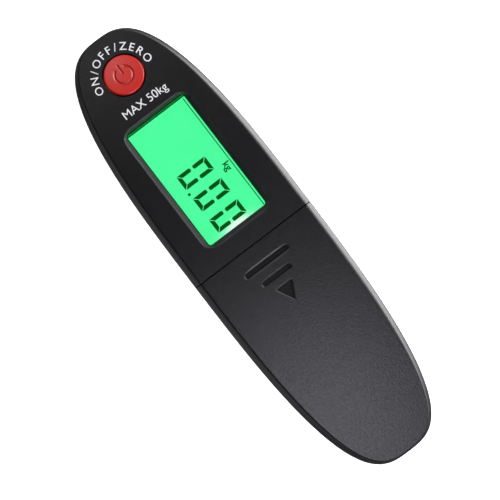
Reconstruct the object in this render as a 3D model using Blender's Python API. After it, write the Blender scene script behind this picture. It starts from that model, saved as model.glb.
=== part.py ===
"""A digital luggage scale: an arched black handle with a lit display, a red power button, a sliding battery
cover and a steel hook that folds into its underside.

Lengths in this file are millimetres. MM turns them into Blender's metres when a mesh or an empty is made.
+X runs from the button end (the head) to the battery end (the tail), +Y is across the handle, and +Z is up
out of the display. The origin is on the surface that the scale lies on, under the middle of the handle.
"""

import math

import bmesh
import bpy
from mathutils import Matrix, Vector

MM = 0.001

# Casing: plan outline, two half superellipses that meet at their widest section
PLAN_CENTRE = -5.0
HEAD_REACH = 70.0
TAIL_REACH = 80.0
HALF_WIDTH = 20.75
HEAD_POWER = 2.85
TAIL_POWER = 3.1

# Casing: heights and curvature
HEIGHT = 30.0
ARCH_RADIUS = 290.0
CROWN_RADIUS = 300.0
FACE_INSET = 1.9
UPPER_DEPTH = 8.0
WALL = 2.0
BELLY_RISE = 7.0
BELLY_REACH = 58.0
FOOT_SINK = 1.0
TIP_START = 66.0
TIP_REACH = 75.0
HULL_POWER = 3.2
TIP_POWER = 2.4
PARTING_GAP = 0.3
CLEARANCE = 0.3

# Display, in a frame tilted to the face at the middle of the window
DISPLAY_X = -27.0
WINDOW_OPENING = (42.0, 23.0)
WINDOW_VIEW = (39.6, 20.7)
WINDOW_DEPTH = 2.1
WINDOW_SIZE = (42.8, 23.8)
WINDOW_THICKNESS = 1.2
LCD_SIZE = (42.0, 23.0)
LCD_THICKNESS = 2.2
BACKLIGHT_SIZE = (39.0, 20.0)
BACKLIGHT_THICKNESS = 2.5
HOLDER_SIZE = (45.4, 26.8)
BOARD_DEPTH = 9.4
BOARD_THICKNESS = 1.2
BOARD_HALF_WIDTH = 13.4
BOARD_TONGUE_HALF_WIDTH = 7.2

# Power button
BUTTON_X = -61.5
BUTTON_RADIUS = 5.95
BUTTON_HOLE_RADIUS = 6.35
BUTTON_FLANGE_RADIUS = 7.0
BUTTON_PROUD = 0.7
BUTTON_HOLLOW_RADIUS = 4.6
SWITCH_SIDE = 6.0
SWITCH_HEIGHT = 3.5
PLUNGER_RADIUS = 1.75

# Battery bay, in a frame tilted under the arch
BAY_X = 32.0
BAY_Z = 19.54
BAY_TILT = math.radians(5.5)
CELL_RADIUS = 5.25
CELL_LENGTH = 44.5
CELL_Y = 5.6
BAY_HALF_LENGTH = 25.25
BAY_HALF_WIDTH = 11.3
TRAY_WALL = 1.3

# Load path
HOOK_Z = 3.7
HOOK_WIRE_RADIUS = 1.9
HOOK_BOWL_RADIUS = 12.0
HOOK_BOWL_X = -34.0
BARREL_RADIUS = 2.75
BARREL_HALF_LENGTH = 3.8
PIN_RADIUS = 1.3
PIN_HOLE_RADIUS = 1.6
YOKE_HALF_WIDTH = 6.1
BEAM_BOTTOM = 9.4
BEAM_THICKNESS = 2.8
BEAM_HALF_LENGTH = 22.0
BEAM_HALF_WIDTH = 6.5
BEAM_SCREW_X = 18.5
STUD_RADIUS = 2.5
POCKET_CEILING = 6.1
POCKET_HALF_WIDTH = 15.0
POCKET_TAIL_X = -16.0
POCKET_HEAD_X = -51.0

# Self-tapping screws that hold the housing, the board and the tray
SCREW_SHANK_RADIUS = 1.2
SCREW_HEAD_RADIUS = 2.2
SCREW_HEAD_HEIGHT = 1.4
SCREW_LENGTH = 11.5
SCREW_HOLE_RADIUS = 1.5
BOSS_RADIUS = 2.3
# Housing screws: x, distance from the middle line, and height of the seat under the head
HEAD_SCREW = (-62.5, 10.6, 7.5)
MIDDLE_SCREW = (-8.0, 16.3, 14.0)
# Board screws: x and distance from the middle line
BOARD_SCREW = (-52.8, 10.5)
TRAY_SCREW_Y = 15.2

# Battery cover: catches on its inside, and grip marks on its face as (x, length across)
TONGUE_HALF_WIDTH = 2.4
TONGUE_LOW = 26.3
LUG_X = (20.0, 25.0)
LUG_Y = (16.5, 19.3)
LUG_Z = (21.6, 22.4)
GRIP_BARS = ((6.3, 15.0), (11.1, 9.8))
GRIP_BAR_WIDTH = 1.65
GRIP_DEPTH = 0.55
ARROW_BASE_X = 14.6
ARROW_TIP_X = 19.5
ARROW_HALF_WIDTH = 2.55

# Strain gauge bonded to the beam, and the steps of its sealant's dome as (scale, height)
GAUGE_X = -10.3
SEALANT_STEPS = ((1.0, 0.0), (0.94, 0.6), (0.7, 1.1))

# Rings round the plan outline, as fractions of the way out from the middle
PLAN_SIDES = 48
FACE_STEPS = (0.25, 0.5, 0.72, 0.88, 1.0)
SHOULDER_STEPS = (0.15, 0.35, 0.6, 1.0)
HULL_STEPS = (0.996, 0.985, 0.95, 0.89, 0.8, 0.66, 0.45, 0.22)

MATERIALS = {
    "black_plastic": ((0.020, 0.020, 0.022), 0.45, 0.0),
    "inner_plastic": ((0.035, 0.035, 0.038), 0.6, 0.0),
    "red_plastic": ((0.72, 0.03, 0.02), 0.35, 0.0),
    "clear_window": ((0.75, 0.85, 0.80), 0.05, 0.0),
    "lcd_glass": ((0.10, 0.90, 0.40), 0.1, 0.0),
    "light_guide": ((0.55, 0.95, 0.70), 0.3, 0.0),
    "white_plastic": ((0.80, 0.80, 0.78), 0.5, 0.0),
    "elastomer": ((0.15, 0.15, 0.16), 0.8, 0.0),
    "circuit_board": ((0.02, 0.22, 0.08), 0.4, 0.0),
    "epoxy": ((0.01, 0.01, 0.01), 0.2, 0.0),
    "switch_black": ((0.03, 0.03, 0.03), 0.5, 0.0),
    "steel": ((0.62, 0.62, 0.64), 0.3, 1.0),
    "nickel": ((0.75, 0.72, 0.66), 0.25, 1.0),
    "zinc": ((0.55, 0.56, 0.58), 0.4, 1.0),
    "gauge_foil": ((0.80, 0.50, 0.15), 0.35, 0.3),
    "silicone": ((0.85, 0.85, 0.82), 0.4, 0.0),
    "cell_sleeve": ((0.05, 0.20, 0.45), 0.35, 0.2),
    "red_wire": ((0.65, 0.02, 0.02), 0.45, 0.0),
    "black_wire": ((0.02, 0.02, 0.02), 0.45, 0.0),
    "white_wire": ((0.80, 0.80, 0.80), 0.45, 0.0),
}


# --------------------------------------------------------------------------------- casing surfaces


def half_width(x, inset=0.0):
    """Half the plan outline's width at x, with the outline drawn in by inset."""
    head = x < PLAN_CENTRE
    reach = (HEAD_REACH if head else TAIL_REACH) - inset
    power = HEAD_POWER if head else TAIL_POWER
    fraction = min(abs(x - PLAN_CENTRE) / reach, 1.0)
    return (HALF_WIDTH - inset) * (1 - fraction**power) ** (1 / power)


def outline_point(angle, inset=0.0):
    """The plan outline's point at this angle, with the outline drawn in by inset."""
    along, across = math.cos(angle), math.sin(angle)
    head = along < 0
    reach = (HEAD_REACH if head else TAIL_REACH) - inset
    power = 2 / (HEAD_POWER if head else TAIL_POWER)
    x = PLAN_CENTRE + math.copysign(reach * abs(along) ** power, along)
    y = math.copysign((HALF_WIDTH - inset) * abs(across) ** power, across)
    return x, y


def face_z(x, y):
    """Height of the arched and crowned front face."""
    return HEIGHT - x**2 / (2 * ARCH_RADIUS) - y**2 / (2 * CROWN_RADIUS)


def girth_z(x):
    """Height of the line where the upper shells meet the bottom housing."""
    return HEIGHT - UPPER_DEPTH - x**2 / (2 * ARCH_RADIUS)


def shoulder_inset(step):
    """How far the side wall stands in from the outline at this fraction of the upper shell's depth."""
    return FACE_INSET * (1 - step) ** 2


def keel_z(x, wall=0.0):
    """Height of the underside along its middle: an arched belly, a foot at each end and upswept tips."""
    low = max(BELLY_RISE * (1 - (x / BELLY_REACH) ** 2), -FOOT_SINK) + wall
    rise = (abs(x) - TIP_START) / (TIP_REACH - TIP_START - wall)
    if rise <= 0:
        return low
    rise = min(rise, 1.0)
    return low + (girth_z(x) - low) * (1 - (1 - rise**TIP_POWER) ** (1 / TIP_POWER))


def hull_z(x, y, wall=0.0):
    """Height of the bottom housing's surface, or of its inside when wall is its thickness."""
    fraction = min(abs(y) / max(half_width(x, wall), 1e-6), 1.0)
    keel = keel_z(x, wall)
    return keel + (girth_z(x) - keel) * (1 - (1 - fraction**HULL_POWER) ** (1 / HULL_POWER))


def plan_ring(inset, scale, height):
    """A ring of points round the outline, shrunk towards the middle by scale, at height(x, y)."""
    ring = []
    for i in range(PLAN_SIDES):
        x, y = outline_point(2 * math.pi * i / PLAN_SIDES, inset)
        x = PLAN_CENTRE + (x - PLAN_CENTRE) * scale
        y *= scale
        ring.append((x, y, height(x, y)))
    return ring


# ------------------------------------------------------------------------------------ mesh helpers


def add_loft(bm, rings):
    """Skins rings of points. A one-point ring closes to a pole, and a full ring at an end is capped flat."""
    rows = [[bm.verts.new(point) for point in ring] for ring in rings]
    for row, following in zip(rows, rows[1:]):
        count = max(len(row), len(following))
        for i in range(count):
            j = (i + 1) % count
            corners = [
                row[i % len(row)],
                row[j % len(row)],
                following[j % len(following)],
                following[i % len(following)],
            ]
            bm.faces.new(list(dict.fromkeys(corners)))
    for row in (rows[0], rows[-1]):
        if len(row) > 1:
            bm.faces.new(row)


def add_box(bm, low, high):
    """An upright box between two corners."""
    corners = [(low[0], low[1]), (high[0], low[1]), (high[0], high[1]), (low[0], high[1])]
    add_loft(bm, [[(x, y, z) for x, y in corners] for z in (low[2], high[2])])


def circle(radius, centre, z, sides):
    """A level ring of points."""
    turns = [2 * math.pi * i / sides for i in range(sides)]
    return [(centre[0] + radius * math.cos(a), centre[1] + radius * math.sin(a), z) for a in turns]


def add_turned(bm, profile, centre=(0.0, 0.0), sides=24):
    """A solid of revolution about an upright line. The profile is a list of (radius, z)."""
    rings = []
    for radius, z in profile:
        if radius == 0:
            rings.append([(centre[0], centre[1], z)])
        else:
            rings.append(circle(radius, centre, z, sides))
    add_loft(bm, rings)


def add_rod(bm, radius, z_low, z_high, centre=(0.0, 0.0), sides=24):
    """An upright cylinder."""
    add_turned(bm, [(radius, z_low), (radius, z_high)], centre, sides)


def rounded_rectangle(length, width, corner, steps=3):
    """Plan points of a rectangle with rounded corners, centred on the origin."""
    points = []
    for quarter in range(4):
        x_side = 1 if quarter in (0, 3) else -1
        y_side = 1 if quarter in (0, 1) else -1
        for i in range(steps + 1):
            angle = math.pi / 2 * (quarter + i / steps)
            x = x_side * (length / 2 - corner) + corner * math.cos(angle)
            y = y_side * (width / 2 - corner) + corner * math.sin(angle)
            points.append((x, y))
    return points


def add_plate(bm, plan, z_low, z_high):
    """A flat plate with this plan."""
    add_loft(bm, [[(x, y, z) for x, y in plan] for z in (z_low, z_high)])


def add_tube(bm, path, radius, sides=8):
    """A tube along a path, with flat ends."""
    points = [Vector(point) for point in path]
    rings = []
    side = None
    for i, point in enumerate(points):
        tangent = (points[min(i + 1, len(points) - 1)] - points[max(i - 1, 0)]).normalized()
        if side is None:
            side = tangent.orthogonal().normalized()
        side = (side - tangent * side.dot(tangent)).normalized()
        other = tangent.cross(side)
        turns = [2 * math.pi * k / sides for k in range(sides)]
        rings.append([point + radius * (side * math.cos(a) + other * math.sin(a)) for a in turns])
    add_loft(bm, rings)


def smooth_path(knots, steps=5):
    """Points of a Catmull-Rom curve through the knots."""
    ends = [Vector(knots[0]) * 2 - Vector(knots[1])]
    ends += [Vector(knot) for knot in knots]
    ends.append(Vector(knots[-1]) * 2 - Vector(knots[-2]))
    path = []
    for a, b, c, d in zip(ends, ends[1:], ends[2:], ends[3:]):
        for i in range(steps):
            t = i / steps
            straight = 2 * b + (c - a) * t
            bend = (2 * a - 5 * b + 4 * c - d) * t**2
            twist = (3 * b - a - 3 * c + d) * t**3
            path.append((straight + bend + twist) / 2)
    path.append(ends[-2])
    return path


def make_object(name, bm, material, parent=None):
    """Turns a bmesh in millimetres into an object in metres, with its faces out and round sides smooth."""
    bmesh.ops.recalc_face_normals(bm, faces=bm.faces)
    bmesh.ops.transform(bm, matrix=Matrix.Scale(MM, 4), verts=bm.verts)
    mesh = bpy.data.meshes.new(name)
    bm.to_mesh(mesh)
    bm.free()
    mesh.materials.append(bpy.data.materials[material])
    mesh.shade_smooth()
    mesh.set_sharp_from_angle(angle=math.radians(35))
    obj = bpy.data.objects.new(name, mesh)
    bpy.context.collection.objects.link(obj)
    obj.parent = parent
    return obj


def make_part(name, material, build, parent=None):
    """A named part whose mesh build(bm) makes."""
    bm = bmesh.new()
    build(bm)
    return make_object(name, bm, material, parent)


def make_helper(name, build, parent=None):
    """A cutter, or a shape to be joined to a part: it is no part itself."""
    helper = make_part(name, "inner_plastic", build, parent)
    helper.hide_render = True
    helper.display_type = "WIRE"
    return helper


def boolean(obj, other, operation="DIFFERENCE"):
    """Cuts or joins another object."""
    modifier = obj.modifiers.new(f"{operation.lower()}_{other.name}", "BOOLEAN")
    modifier.operation = operation
    modifier.solver = "EXACT"
    modifier.object = other


def make_frame(name, location, rotation_y=0.0):
    """An empty that places the parts which are built in its frame."""
    empty = bpy.data.objects.new(name, None)
    empty.location = Vector(location) * MM
    empty.rotation_euler.y = rotation_y
    empty.empty_display_size = 5 * MM
    bpy.context.collection.objects.link(empty)
    return empty


def make_materials():
    for name, (colour, roughness, metallic) in MATERIALS.items():
        material = bpy.data.materials.new(name)
        material.use_nodes = True
        material.diffuse_color = (*colour, 1.0)
        shader = material.node_tree.nodes["Principled BSDF"]
        shader.inputs["Base Color"].default_value = (*colour, 1.0)
        shader.inputs["Roughness"].default_value = roughness
        shader.inputs["Metallic"].default_value = metallic


# ------------------------------------------------------------------------------------------ casing


def build_upper_shell(bm):
    """The whole upper skin: face, shoulder and rim outside, then side wall and ceiling inside."""
    rings = [[(PLAN_CENTRE, 0.0, face_z(PLAN_CENTRE, 0.0))]]
    for scale in FACE_STEPS:
        rings.append(plan_ring(FACE_INSET, scale, face_z))
    edge_drop = HALF_WIDTH**2 / (2 * CROWN_RADIUS)
    for step in SHOULDER_STEPS:
        rise = (UPPER_DEPTH - edge_drop) * (1 - step)
        rings.append(plan_ring(shoulder_inset(step), 1.0, lambda x, y, h=rise: girth_z(x) + h))
    for step in (1.0, 0.6, 0.35):
        rise = UPPER_DEPTH * (1 - step)
        rings.append(plan_ring(WALL + shoulder_inset(step), 1.0, lambda x, y, h=rise: girth_z(x) + h))
    for scale in reversed(FACE_STEPS):
        rings.append(plan_ring(WALL + FACE_INSET, scale, lambda x, y: face_z(x, y) - WALL))
    rings.append([(PLAN_CENTRE, 0.0, face_z(PLAN_CENTRE, 0.0) - WALL)])
    add_loft(bm, rings)


def build_window_opening(bm):
    """A rounded opening whose sides slope in towards the display."""
    slope = (WINDOW_OPENING[0] - WINDOW_VIEW[0]) / WINDOW_DEPTH
    above = 1.5
    top = (WINDOW_OPENING[0] + slope * above, WINDOW_OPENING[1] + slope * above)
    levels = (
        (above, top, 3.4),
        (-WINDOW_DEPTH, WINDOW_VIEW, 1.8),
        (-WINDOW_DEPTH - 2, WINDOW_VIEW, 1.8),
    )
    rings = []
    for z, (length, width), corner in levels:
        rings.append([(x, y, z) for x, y in rounded_rectangle(length, width, corner)])
    add_loft(bm, rings)


def build_upper_bosses(bm):
    """Screw posts that hang from the head cover: two for the head, two by the middle, two for the board."""
    for side in (-1, 1):
        for x, y, _ in (HEAD_SCREW, MIDDLE_SCREW):
            low = girth_z(x) - 0.3
            add_rod(bm, BOSS_RADIUS, low, face_z(x, y) - WALL / 2, (x, side * y), 16)
        x, y = BOARD_SCREW
        add_rod(bm, BOSS_RADIUS, board_z(x) + CLEARANCE, face_z(x, y) - WALL / 2, (x, side * y), 16)


def build_upper_screw_holes(bm):
    for side in (-1, 1):
        for x, y, seat in (HEAD_SCREW, MIDDLE_SCREW):
            top = seat + SCREW_LENGTH + 0.3
            add_rod(bm, SCREW_HOLE_RADIUS, girth_z(x) - 2, top, (x, side * y), 12)
        x, y = BOARD_SCREW
        add_rod(bm, SCREW_HOLE_RADIUS, board_z(x) - 1, board_z(x) + 4.6, (x, side * y), 12)


def board_z(x):
    """Height of the circuit board's upper side."""
    slope = -DISPLAY_X / ARCH_RADIUS
    return face_z(DISPLAY_X, 0) - BOARD_DEPTH + (x - DISPLAY_X) * slope


def make_head_cover(display_frame, button_frame):
    cover = make_part("head_cover", "black_plastic", build_upper_shell)
    tail_side = make_helper(
        "cut_tail_side", lambda bm: add_box(bm, (-PARTING_GAP / 2, -30, -5), (90, 30, 40))
    )
    bosses = make_helper("join_upper_bosses", build_upper_bosses)
    holes = make_helper("cut_upper_screw_holes", build_upper_screw_holes)
    seat_plan = rounded_rectangle(WINDOW_SIZE[0] + 0.6, WINDOW_SIZE[1] + 0.6, 1.0)
    seat_low = -WINDOW_DEPTH - 7
    seat = make_helper(
        "cut_window_seat", lambda bm: add_plate(bm, seat_plan, seat_low, -WINDOW_DEPTH), display_frame
    )
    opening = make_helper("cut_window_opening", build_window_opening, display_frame)
    button_hole = make_helper(
        "cut_button_hole", lambda bm: add_rod(bm, BUTTON_HOLE_RADIUS, -4.5, 3, sides=36), button_frame
    )
    boolean(cover, tail_side)
    boolean(cover, bosses, "UNION")
    boolean(cover, holes)
    boolean(cover, seat)
    boolean(cover, opening)
    boolean(cover, button_hole)


def build_grip_marks(bm):
    """Two bars and an arrowhead sunk in the battery cover, pointing the way it slides."""
    above = 2.0
    for x, length in GRIP_BARS:
        plan = rounded_rectangle(GRIP_BAR_WIDTH, length, 0.5, 2)
        floor = face_z(x, 0) - GRIP_DEPTH
        add_plate(bm, [(x + px, py) for px, py in plan], floor, floor + above)
    arrow = [(ARROW_BASE_X, -ARROW_HALF_WIDTH), (ARROW_TIP_X, 0.0), (ARROW_BASE_X, ARROW_HALF_WIDTH)]
    floor = face_z((ARROW_BASE_X + ARROW_TIP_X) / 2, 0) - GRIP_DEPTH
    add_plate(bm, arrow, floor, floor + above)


def build_cover_catches(bm):
    """The tongue that tucks under the head cover, and the two lugs that run under the tray's tabs."""
    tip, step, root = -2.4, 0.6, 3.0
    skin = HEIGHT - WALL
    under_skin = skin - CLEARANCE - 0.05
    into_skin = skin + WALL * 0.4
    profile = [
        (tip, TONGUE_LOW),
        (root, TONGUE_LOW),
        (root, into_skin),
        (step, into_skin),
        (step, under_skin),
        (tip, under_skin),
    ]
    add_loft(bm, [[(x, y, z) for x, z in profile] for y in (-TONGUE_HALF_WIDTH, TONGUE_HALF_WIDTH)])
    for side in (-1, 1):
        inner, outer = sorted(side * y for y in LUG_Y)
        add_box(bm, (LUG_X[0], inner, LUG_Z[0]), (LUG_X[1], outer, LUG_Z[1]))


def make_battery_cover():
    cover = make_part("battery_cover", "black_plastic", build_upper_shell)
    head_side = make_helper(
        "cut_head_side", lambda bm: add_box(bm, (-90, -30, -5), (PARTING_GAP / 2, 30, 40))
    )
    marks = make_helper("cut_grip_marks", build_grip_marks)
    catches = make_helper("join_cover_catches", build_cover_catches)
    boolean(cover, head_side)
    boolean(cover, marks)
    boolean(cover, catches, "UNION")


def build_hull(bm, depth=0.0):
    """The bottom housing's outer form, closed at the girth. Depth builds it that far under the surface."""
    rim = CLEARANCE + depth / 2
    rings = [[(PLAN_CENTRE, 0.0, girth_z(PLAN_CENTRE) - rim)]]
    for scale in FACE_STEPS:
        rings.append(plan_ring(depth, scale, lambda x, y: girth_z(x) - rim))
    for scale in HULL_STEPS:
        rings.append(plan_ring(depth, scale, lambda x, y: min(hull_z(x, y, depth), girth_z(x) - rim - 0.5)))
    rings.append([(PLAN_CENTRE, 0.0, hull_z(PLAN_CENTRE, 0.0, depth))])
    add_loft(bm, rings)


def build_cavity(bm):
    """The inside of the bottom housing, running on up through its open top."""
    rings = [[(PLAN_CENTRE, 0.0, HEIGHT)], plan_ring(WALL, 1.0, lambda x, y: HEIGHT)]
    rings.append(plan_ring(WALL, 1.0, lambda x, y: girth_z(x) - 1))
    for scale in HULL_STEPS:
        rings.append(plan_ring(WALL, scale, lambda x, y: min(hull_z(x, y, WALL), girth_z(x) - 1.5)))
    rings.append([(PLAN_CENTRE, 0.0, hull_z(PLAN_CENTRE, 0.0, WALL))])
    add_loft(bm, rings)


def pocket_plan(grow=0.0):
    """Plan of the hook's pocket: a straight part and a half-round end towards the head."""
    radius = POCKET_HALF_WIDTH + grow
    centre = POCKET_HEAD_X + POCKET_HALF_WIDTH
    points = [(POCKET_TAIL_X + grow, -radius), (POCKET_TAIL_X + grow, radius)]
    sides = 14
    for i in range(sides + 1):
        angle = math.pi / 2 + math.pi * i / sides
        points.append((centre + radius * math.cos(angle), radius * math.sin(angle)))
    return points


def build_lower_posts(bm):
    """Screw posts and beam pads that stand on the bottom housing's floor."""
    for side in (-1, 1):
        for x, y, seat in (HEAD_SCREW, MIDDLE_SCREW):
            foot = SCREW_HEAD_RADIUS + 1.3
            top = girth_z(x) - 0.7
            profile = [(foot, -2), (foot, seat + 1.5), (BOSS_RADIUS, seat + 2.3), (BOSS_RADIUS, top)]
            add_turned(bm, profile, (x, side * y), 16)
        add_rod(bm, 4.0, 0, BEAM_BOTTOM - CLEARANCE, (side * BEAM_SCREW_X, 0), 16)
        add_rod(bm, BOSS_RADIUS, 0, tray_ear_z() - CLEARANCE, (BAY_X, side * TRAY_SCREW_Y), 16)


def build_lower_holes(bm):
    """Screw holes from below with their counterbores, and blind holes in the pads and tray posts."""
    for side in (-1, 1):
        for x, y, seat in (HEAD_SCREW, MIDDLE_SCREW):
            profile = [
                (SCREW_HEAD_RADIUS + 0.35, -2),
                (SCREW_HEAD_RADIUS + 0.35, seat),
                (SCREW_HOLE_RADIUS, seat),
                (SCREW_HOLE_RADIUS, girth_z(x) + 1),
            ]
            add_turned(bm, profile, (x, side * y), 16)
        add_rod(bm, SCREW_HOLE_RADIUS, 7.0, BEAM_BOTTOM + 1, (side * BEAM_SCREW_X, 0), 12)
        top = tray_ear_z()
        add_rod(bm, SCREW_HOLE_RADIUS, top - 5.5, top + 1, (BAY_X, side * TRAY_SCREW_Y), 12)


def make_bottom_housing():
    housing = make_part("bottom_housing", "black_plastic", build_hull)
    cavity = make_helper("cut_cavity", build_cavity)
    roof_top = POCKET_CEILING + WALL
    pocket_roof = make_helper("cut_pocket_roof", lambda bm: add_plate(bm, pocket_plan(WALL), -5, roof_top))
    floor = make_helper("cut_below_feet", lambda bm: add_box(bm, (-90, -30, -20), (90, 30, 0)))
    pocket = make_helper("cut_hook_pocket", lambda bm: add_plate(bm, pocket_plan(), -3, POCKET_CEILING))
    slot = make_helper("cut_yoke_slot", lambda bm: add_box(bm, (-5.2, -7.6, 4), (5.2, 7.6, 13)))
    posts = make_helper("join_lower_posts", build_lower_posts)
    core = make_helper("trim_lower_posts", lambda bm: build_hull(bm, WALL / 2))
    holes = make_helper("cut_lower_holes", build_lower_holes)
    boolean(cavity, pocket_roof)
    boolean(posts, core, "INTERSECT")
    boolean(housing, cavity)
    boolean(housing, posts, "UNION")
    boolean(housing, floor)
    boolean(housing, pocket)
    boolean(housing, slot)
    boolean(housing, holes)


# ----------------------------------------------------------------------------------- display stack


def display_levels():
    """Upper sides of the window, the panel and the backlight, down from the face at the window's middle."""
    window = -WINDOW_DEPTH - CLEARANCE
    panel = window - WINDOW_THICKNESS - CLEARANCE
    backlight = panel - LCD_THICKNESS - CLEARANCE
    return window, panel, backlight


def make_display(frame):
    window_top, panel_top, light_top = display_levels()
    board_top = -BOARD_DEPTH
    stack = (
        ("display_window", "clear_window", WINDOW_SIZE, 1.0, window_top, WINDOW_THICKNESS),
        ("lcd_panel", "lcd_glass", LCD_SIZE, 0.4, panel_top, LCD_THICKNESS),
        ("backlight_panel", "light_guide", BACKLIGHT_SIZE, 0.4, light_top, BACKLIGHT_THICKNESS),
    )
    for name, material, (length, width), corner, top, thickness in stack:
        plan = rounded_rectangle(length, width, corner)
        make_part(name, material, lambda bm, p=plan, t=top, h=thickness: add_plate(bm, p, t - h, t), frame)

    led_x = BACKLIGHT_SIZE[0] / 2 + 0.9
    make_part(
        "backlight_led",
        "white_plastic",
        lambda bm: add_box(bm, (led_x - 0.6, -1.5, light_top - 2.4), (led_x + 0.6, 1.5, light_top - 0.3)),
        frame,
    )
    make_part(
        "zebra_strip",
        "elastomer",
        lambda bm: add_box(bm, (-19, -11.4, board_top + CLEARANCE), (19, -10.4, light_top)),
        frame,
    )
    outer = rounded_rectangle(*HOLDER_SIZE, 1.2)
    inner = rounded_rectangle(LCD_SIZE[0] + 0.7, LCD_SIZE[1] + 0.7, 0.6)
    foot = board_top + CLEARANCE
    holder = make_part("lcd_holder", "white_plastic", lambda bm: add_plate(bm, outer, foot, panel_top), frame)
    hole = make_helper("cut_holder", lambda bm: add_plate(bm, inner, foot - 1, panel_top + 1), frame)
    boolean(holder, hole)


def make_board(frame):
    """The circuit board and what is soldered to it. Its plan is in the display's frame."""
    top = -BOARD_DEPTH
    tail, neck, shoulder, tip = (x - DISPLAY_X for x in (-5.0, -55.5, -58.5, -68.5))
    plan = [
        (tail, -BOARD_HALF_WIDTH),
        (tail, BOARD_HALF_WIDTH),
        (neck, BOARD_HALF_WIDTH),
        (shoulder, BOARD_TONGUE_HALF_WIDTH),
        (tip, BOARD_TONGUE_HALF_WIDTH),
        (tip, -BOARD_TONGUE_HALF_WIDTH),
        (shoulder, -BOARD_TONGUE_HALF_WIDTH),
        (neck, -BOARD_HALF_WIDTH),
    ]
    low = top - BOARD_THICKNESS
    board = make_part("main_pcb", "circuit_board", lambda bm: add_plate(bm, plan, low, top), frame)

    def build_screw_holes(bm):
        for side in (-1, 1):
            x, y = BOARD_SCREW
            add_rod(bm, SCREW_HOLE_RADIUS, board_z(x) - 4, board_z(x) + 2, (x, side * y), 12)

    boolean(board, make_helper("cut_board_holes", build_screw_holes))

    under = low - CLEARANCE
    dome = [(0, under - 1.9), (2.2, under - 1.6), (3.8, under - 0.8), (4.5, under)]
    make_part("chip_blob", "epoxy", lambda bm: add_turned(bm, dome, (-8.0, 0.0)), frame)
    can = [(-22.0, 6.5), (-14.0, 6.5)]
    make_part(
        "crystal",
        "nickel",
        lambda bm: add_tube(bm, [(x, y, under - 1.5) for x, y in can], 1.5, 12),
        frame,
    )
    for number, (x, y) in enumerate(((3.0, -8.5), (-20.0, -8.5)), 1):
        profile = [(0, under - 5.0), (1.9, under - 5.0), (1.9, under)]
        make_part(
            f"capacitor_{number}",
            "cell_sleeve",
            lambda bm, c=(x, y), p=profile: add_turned(bm, p, c, 16),
            frame,
        )


# ------------------------------------------------------------------------------------ power button


def button_slope():
    """Slope of the face at the button, seen from the board's tilted frame."""
    return (DISPLAY_X - BUTTON_X) / ARCH_RADIUS


def sloped_ring(radius, z, slope, sides=36):
    """A ring that follows the face's slope."""
    return [(x, y, h + slope * x) for x, y, h in circle(radius, (0.0, 0.0), z, sides)]


def build_button(bm):
    """A domed cap with a retaining flange, hollow below round a centre stem."""
    slope = button_slope()
    skin = -WALL - CLEARANCE
    flange = skin - 1.0
    stem_foot = -2.3
    ceiling = -1.0
    rings = [[(0.0, 0.0, BUTTON_PROUD)]]
    rings.append(sloped_ring(BUTTON_RADIUS * 0.55, BUTTON_PROUD - 0.12, slope))
    rings.append(sloped_ring(BUTTON_RADIUS * 0.86, BUTTON_PROUD - 0.35, slope))
    rings.append(sloped_ring(BUTTON_RADIUS, BUTTON_PROUD - 0.75, slope))
    rings.append(sloped_ring(BUTTON_RADIUS, skin, slope))
    rings.append(sloped_ring(BUTTON_FLANGE_RADIUS, skin, slope))
    rings.append(sloped_ring(BUTTON_FLANGE_RADIUS, flange, slope))
    rings.append(sloped_ring(BUTTON_HOLLOW_RADIUS, flange, slope))
    rings.append(sloped_ring(BUTTON_HOLLOW_RADIUS, ceiling, 0.0))
    rings.append(sloped_ring(1.6, ceiling, 0.0))
    rings.append(sloped_ring(1.6, stem_foot, 0.0))
    add_loft(bm, rings)


def make_button(frame):
    """The button, and the switch that it presses. The frame is at the face, on the button's axis."""
    make_part("power_button", "red_plastic", build_button, frame)
    board_top = board_z(BUTTON_X) - face_z(BUTTON_X, 0)
    body_low = board_top + CLEARANCE
    body_top = body_low + SWITCH_HEIGHT
    half = SWITCH_SIDE / 2
    low, high = (-half, -half, body_low), (half, half, body_top)
    switch = make_part("tact_switch", "switch_black", lambda bm: add_box(bm, low, high), frame)
    well_radius = PLUNGER_RADIUS + CLEARANCE
    well_floor = body_top - 1.6
    well = make_helper(
        "cut_plunger_well", lambda bm: add_rod(bm, well_radius, well_floor, body_top + 1, sides=20), frame
    )
    boolean(switch, well)
    make_part(
        "tact_plunger",
        "white_plastic",
        lambda bm: add_rod(bm, PLUNGER_RADIUS, body_top - 0.8, -2.3 - CLEARANCE, sides=20),
        frame,
    )


# ------------------------------------------------------------------------------------- battery bay


def tray_ear_z():
    """Height of the underside of the tray's screw ears."""
    return BAY_Z - 2.6


def build_tray(bm):
    """The tray's outer block, cut open for the cells afterwards."""
    length = BAY_HALF_LENGTH + TRAY_WALL
    width = BAY_HALF_WIDTH + TRAY_WALL
    add_box(bm, (-length, -width, -CELL_RADIUS - CLEARANCE - 1.1), (length, width, 2.2))


def build_tray_inside(bm):
    """Room for two cells: flat floor, open top."""
    floor = -CELL_RADIUS - CLEARANCE
    add_box(bm, (-BAY_HALF_LENGTH, -BAY_HALF_WIDTH, floor), (BAY_HALF_LENGTH, BAY_HALF_WIDTH, 5))


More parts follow.
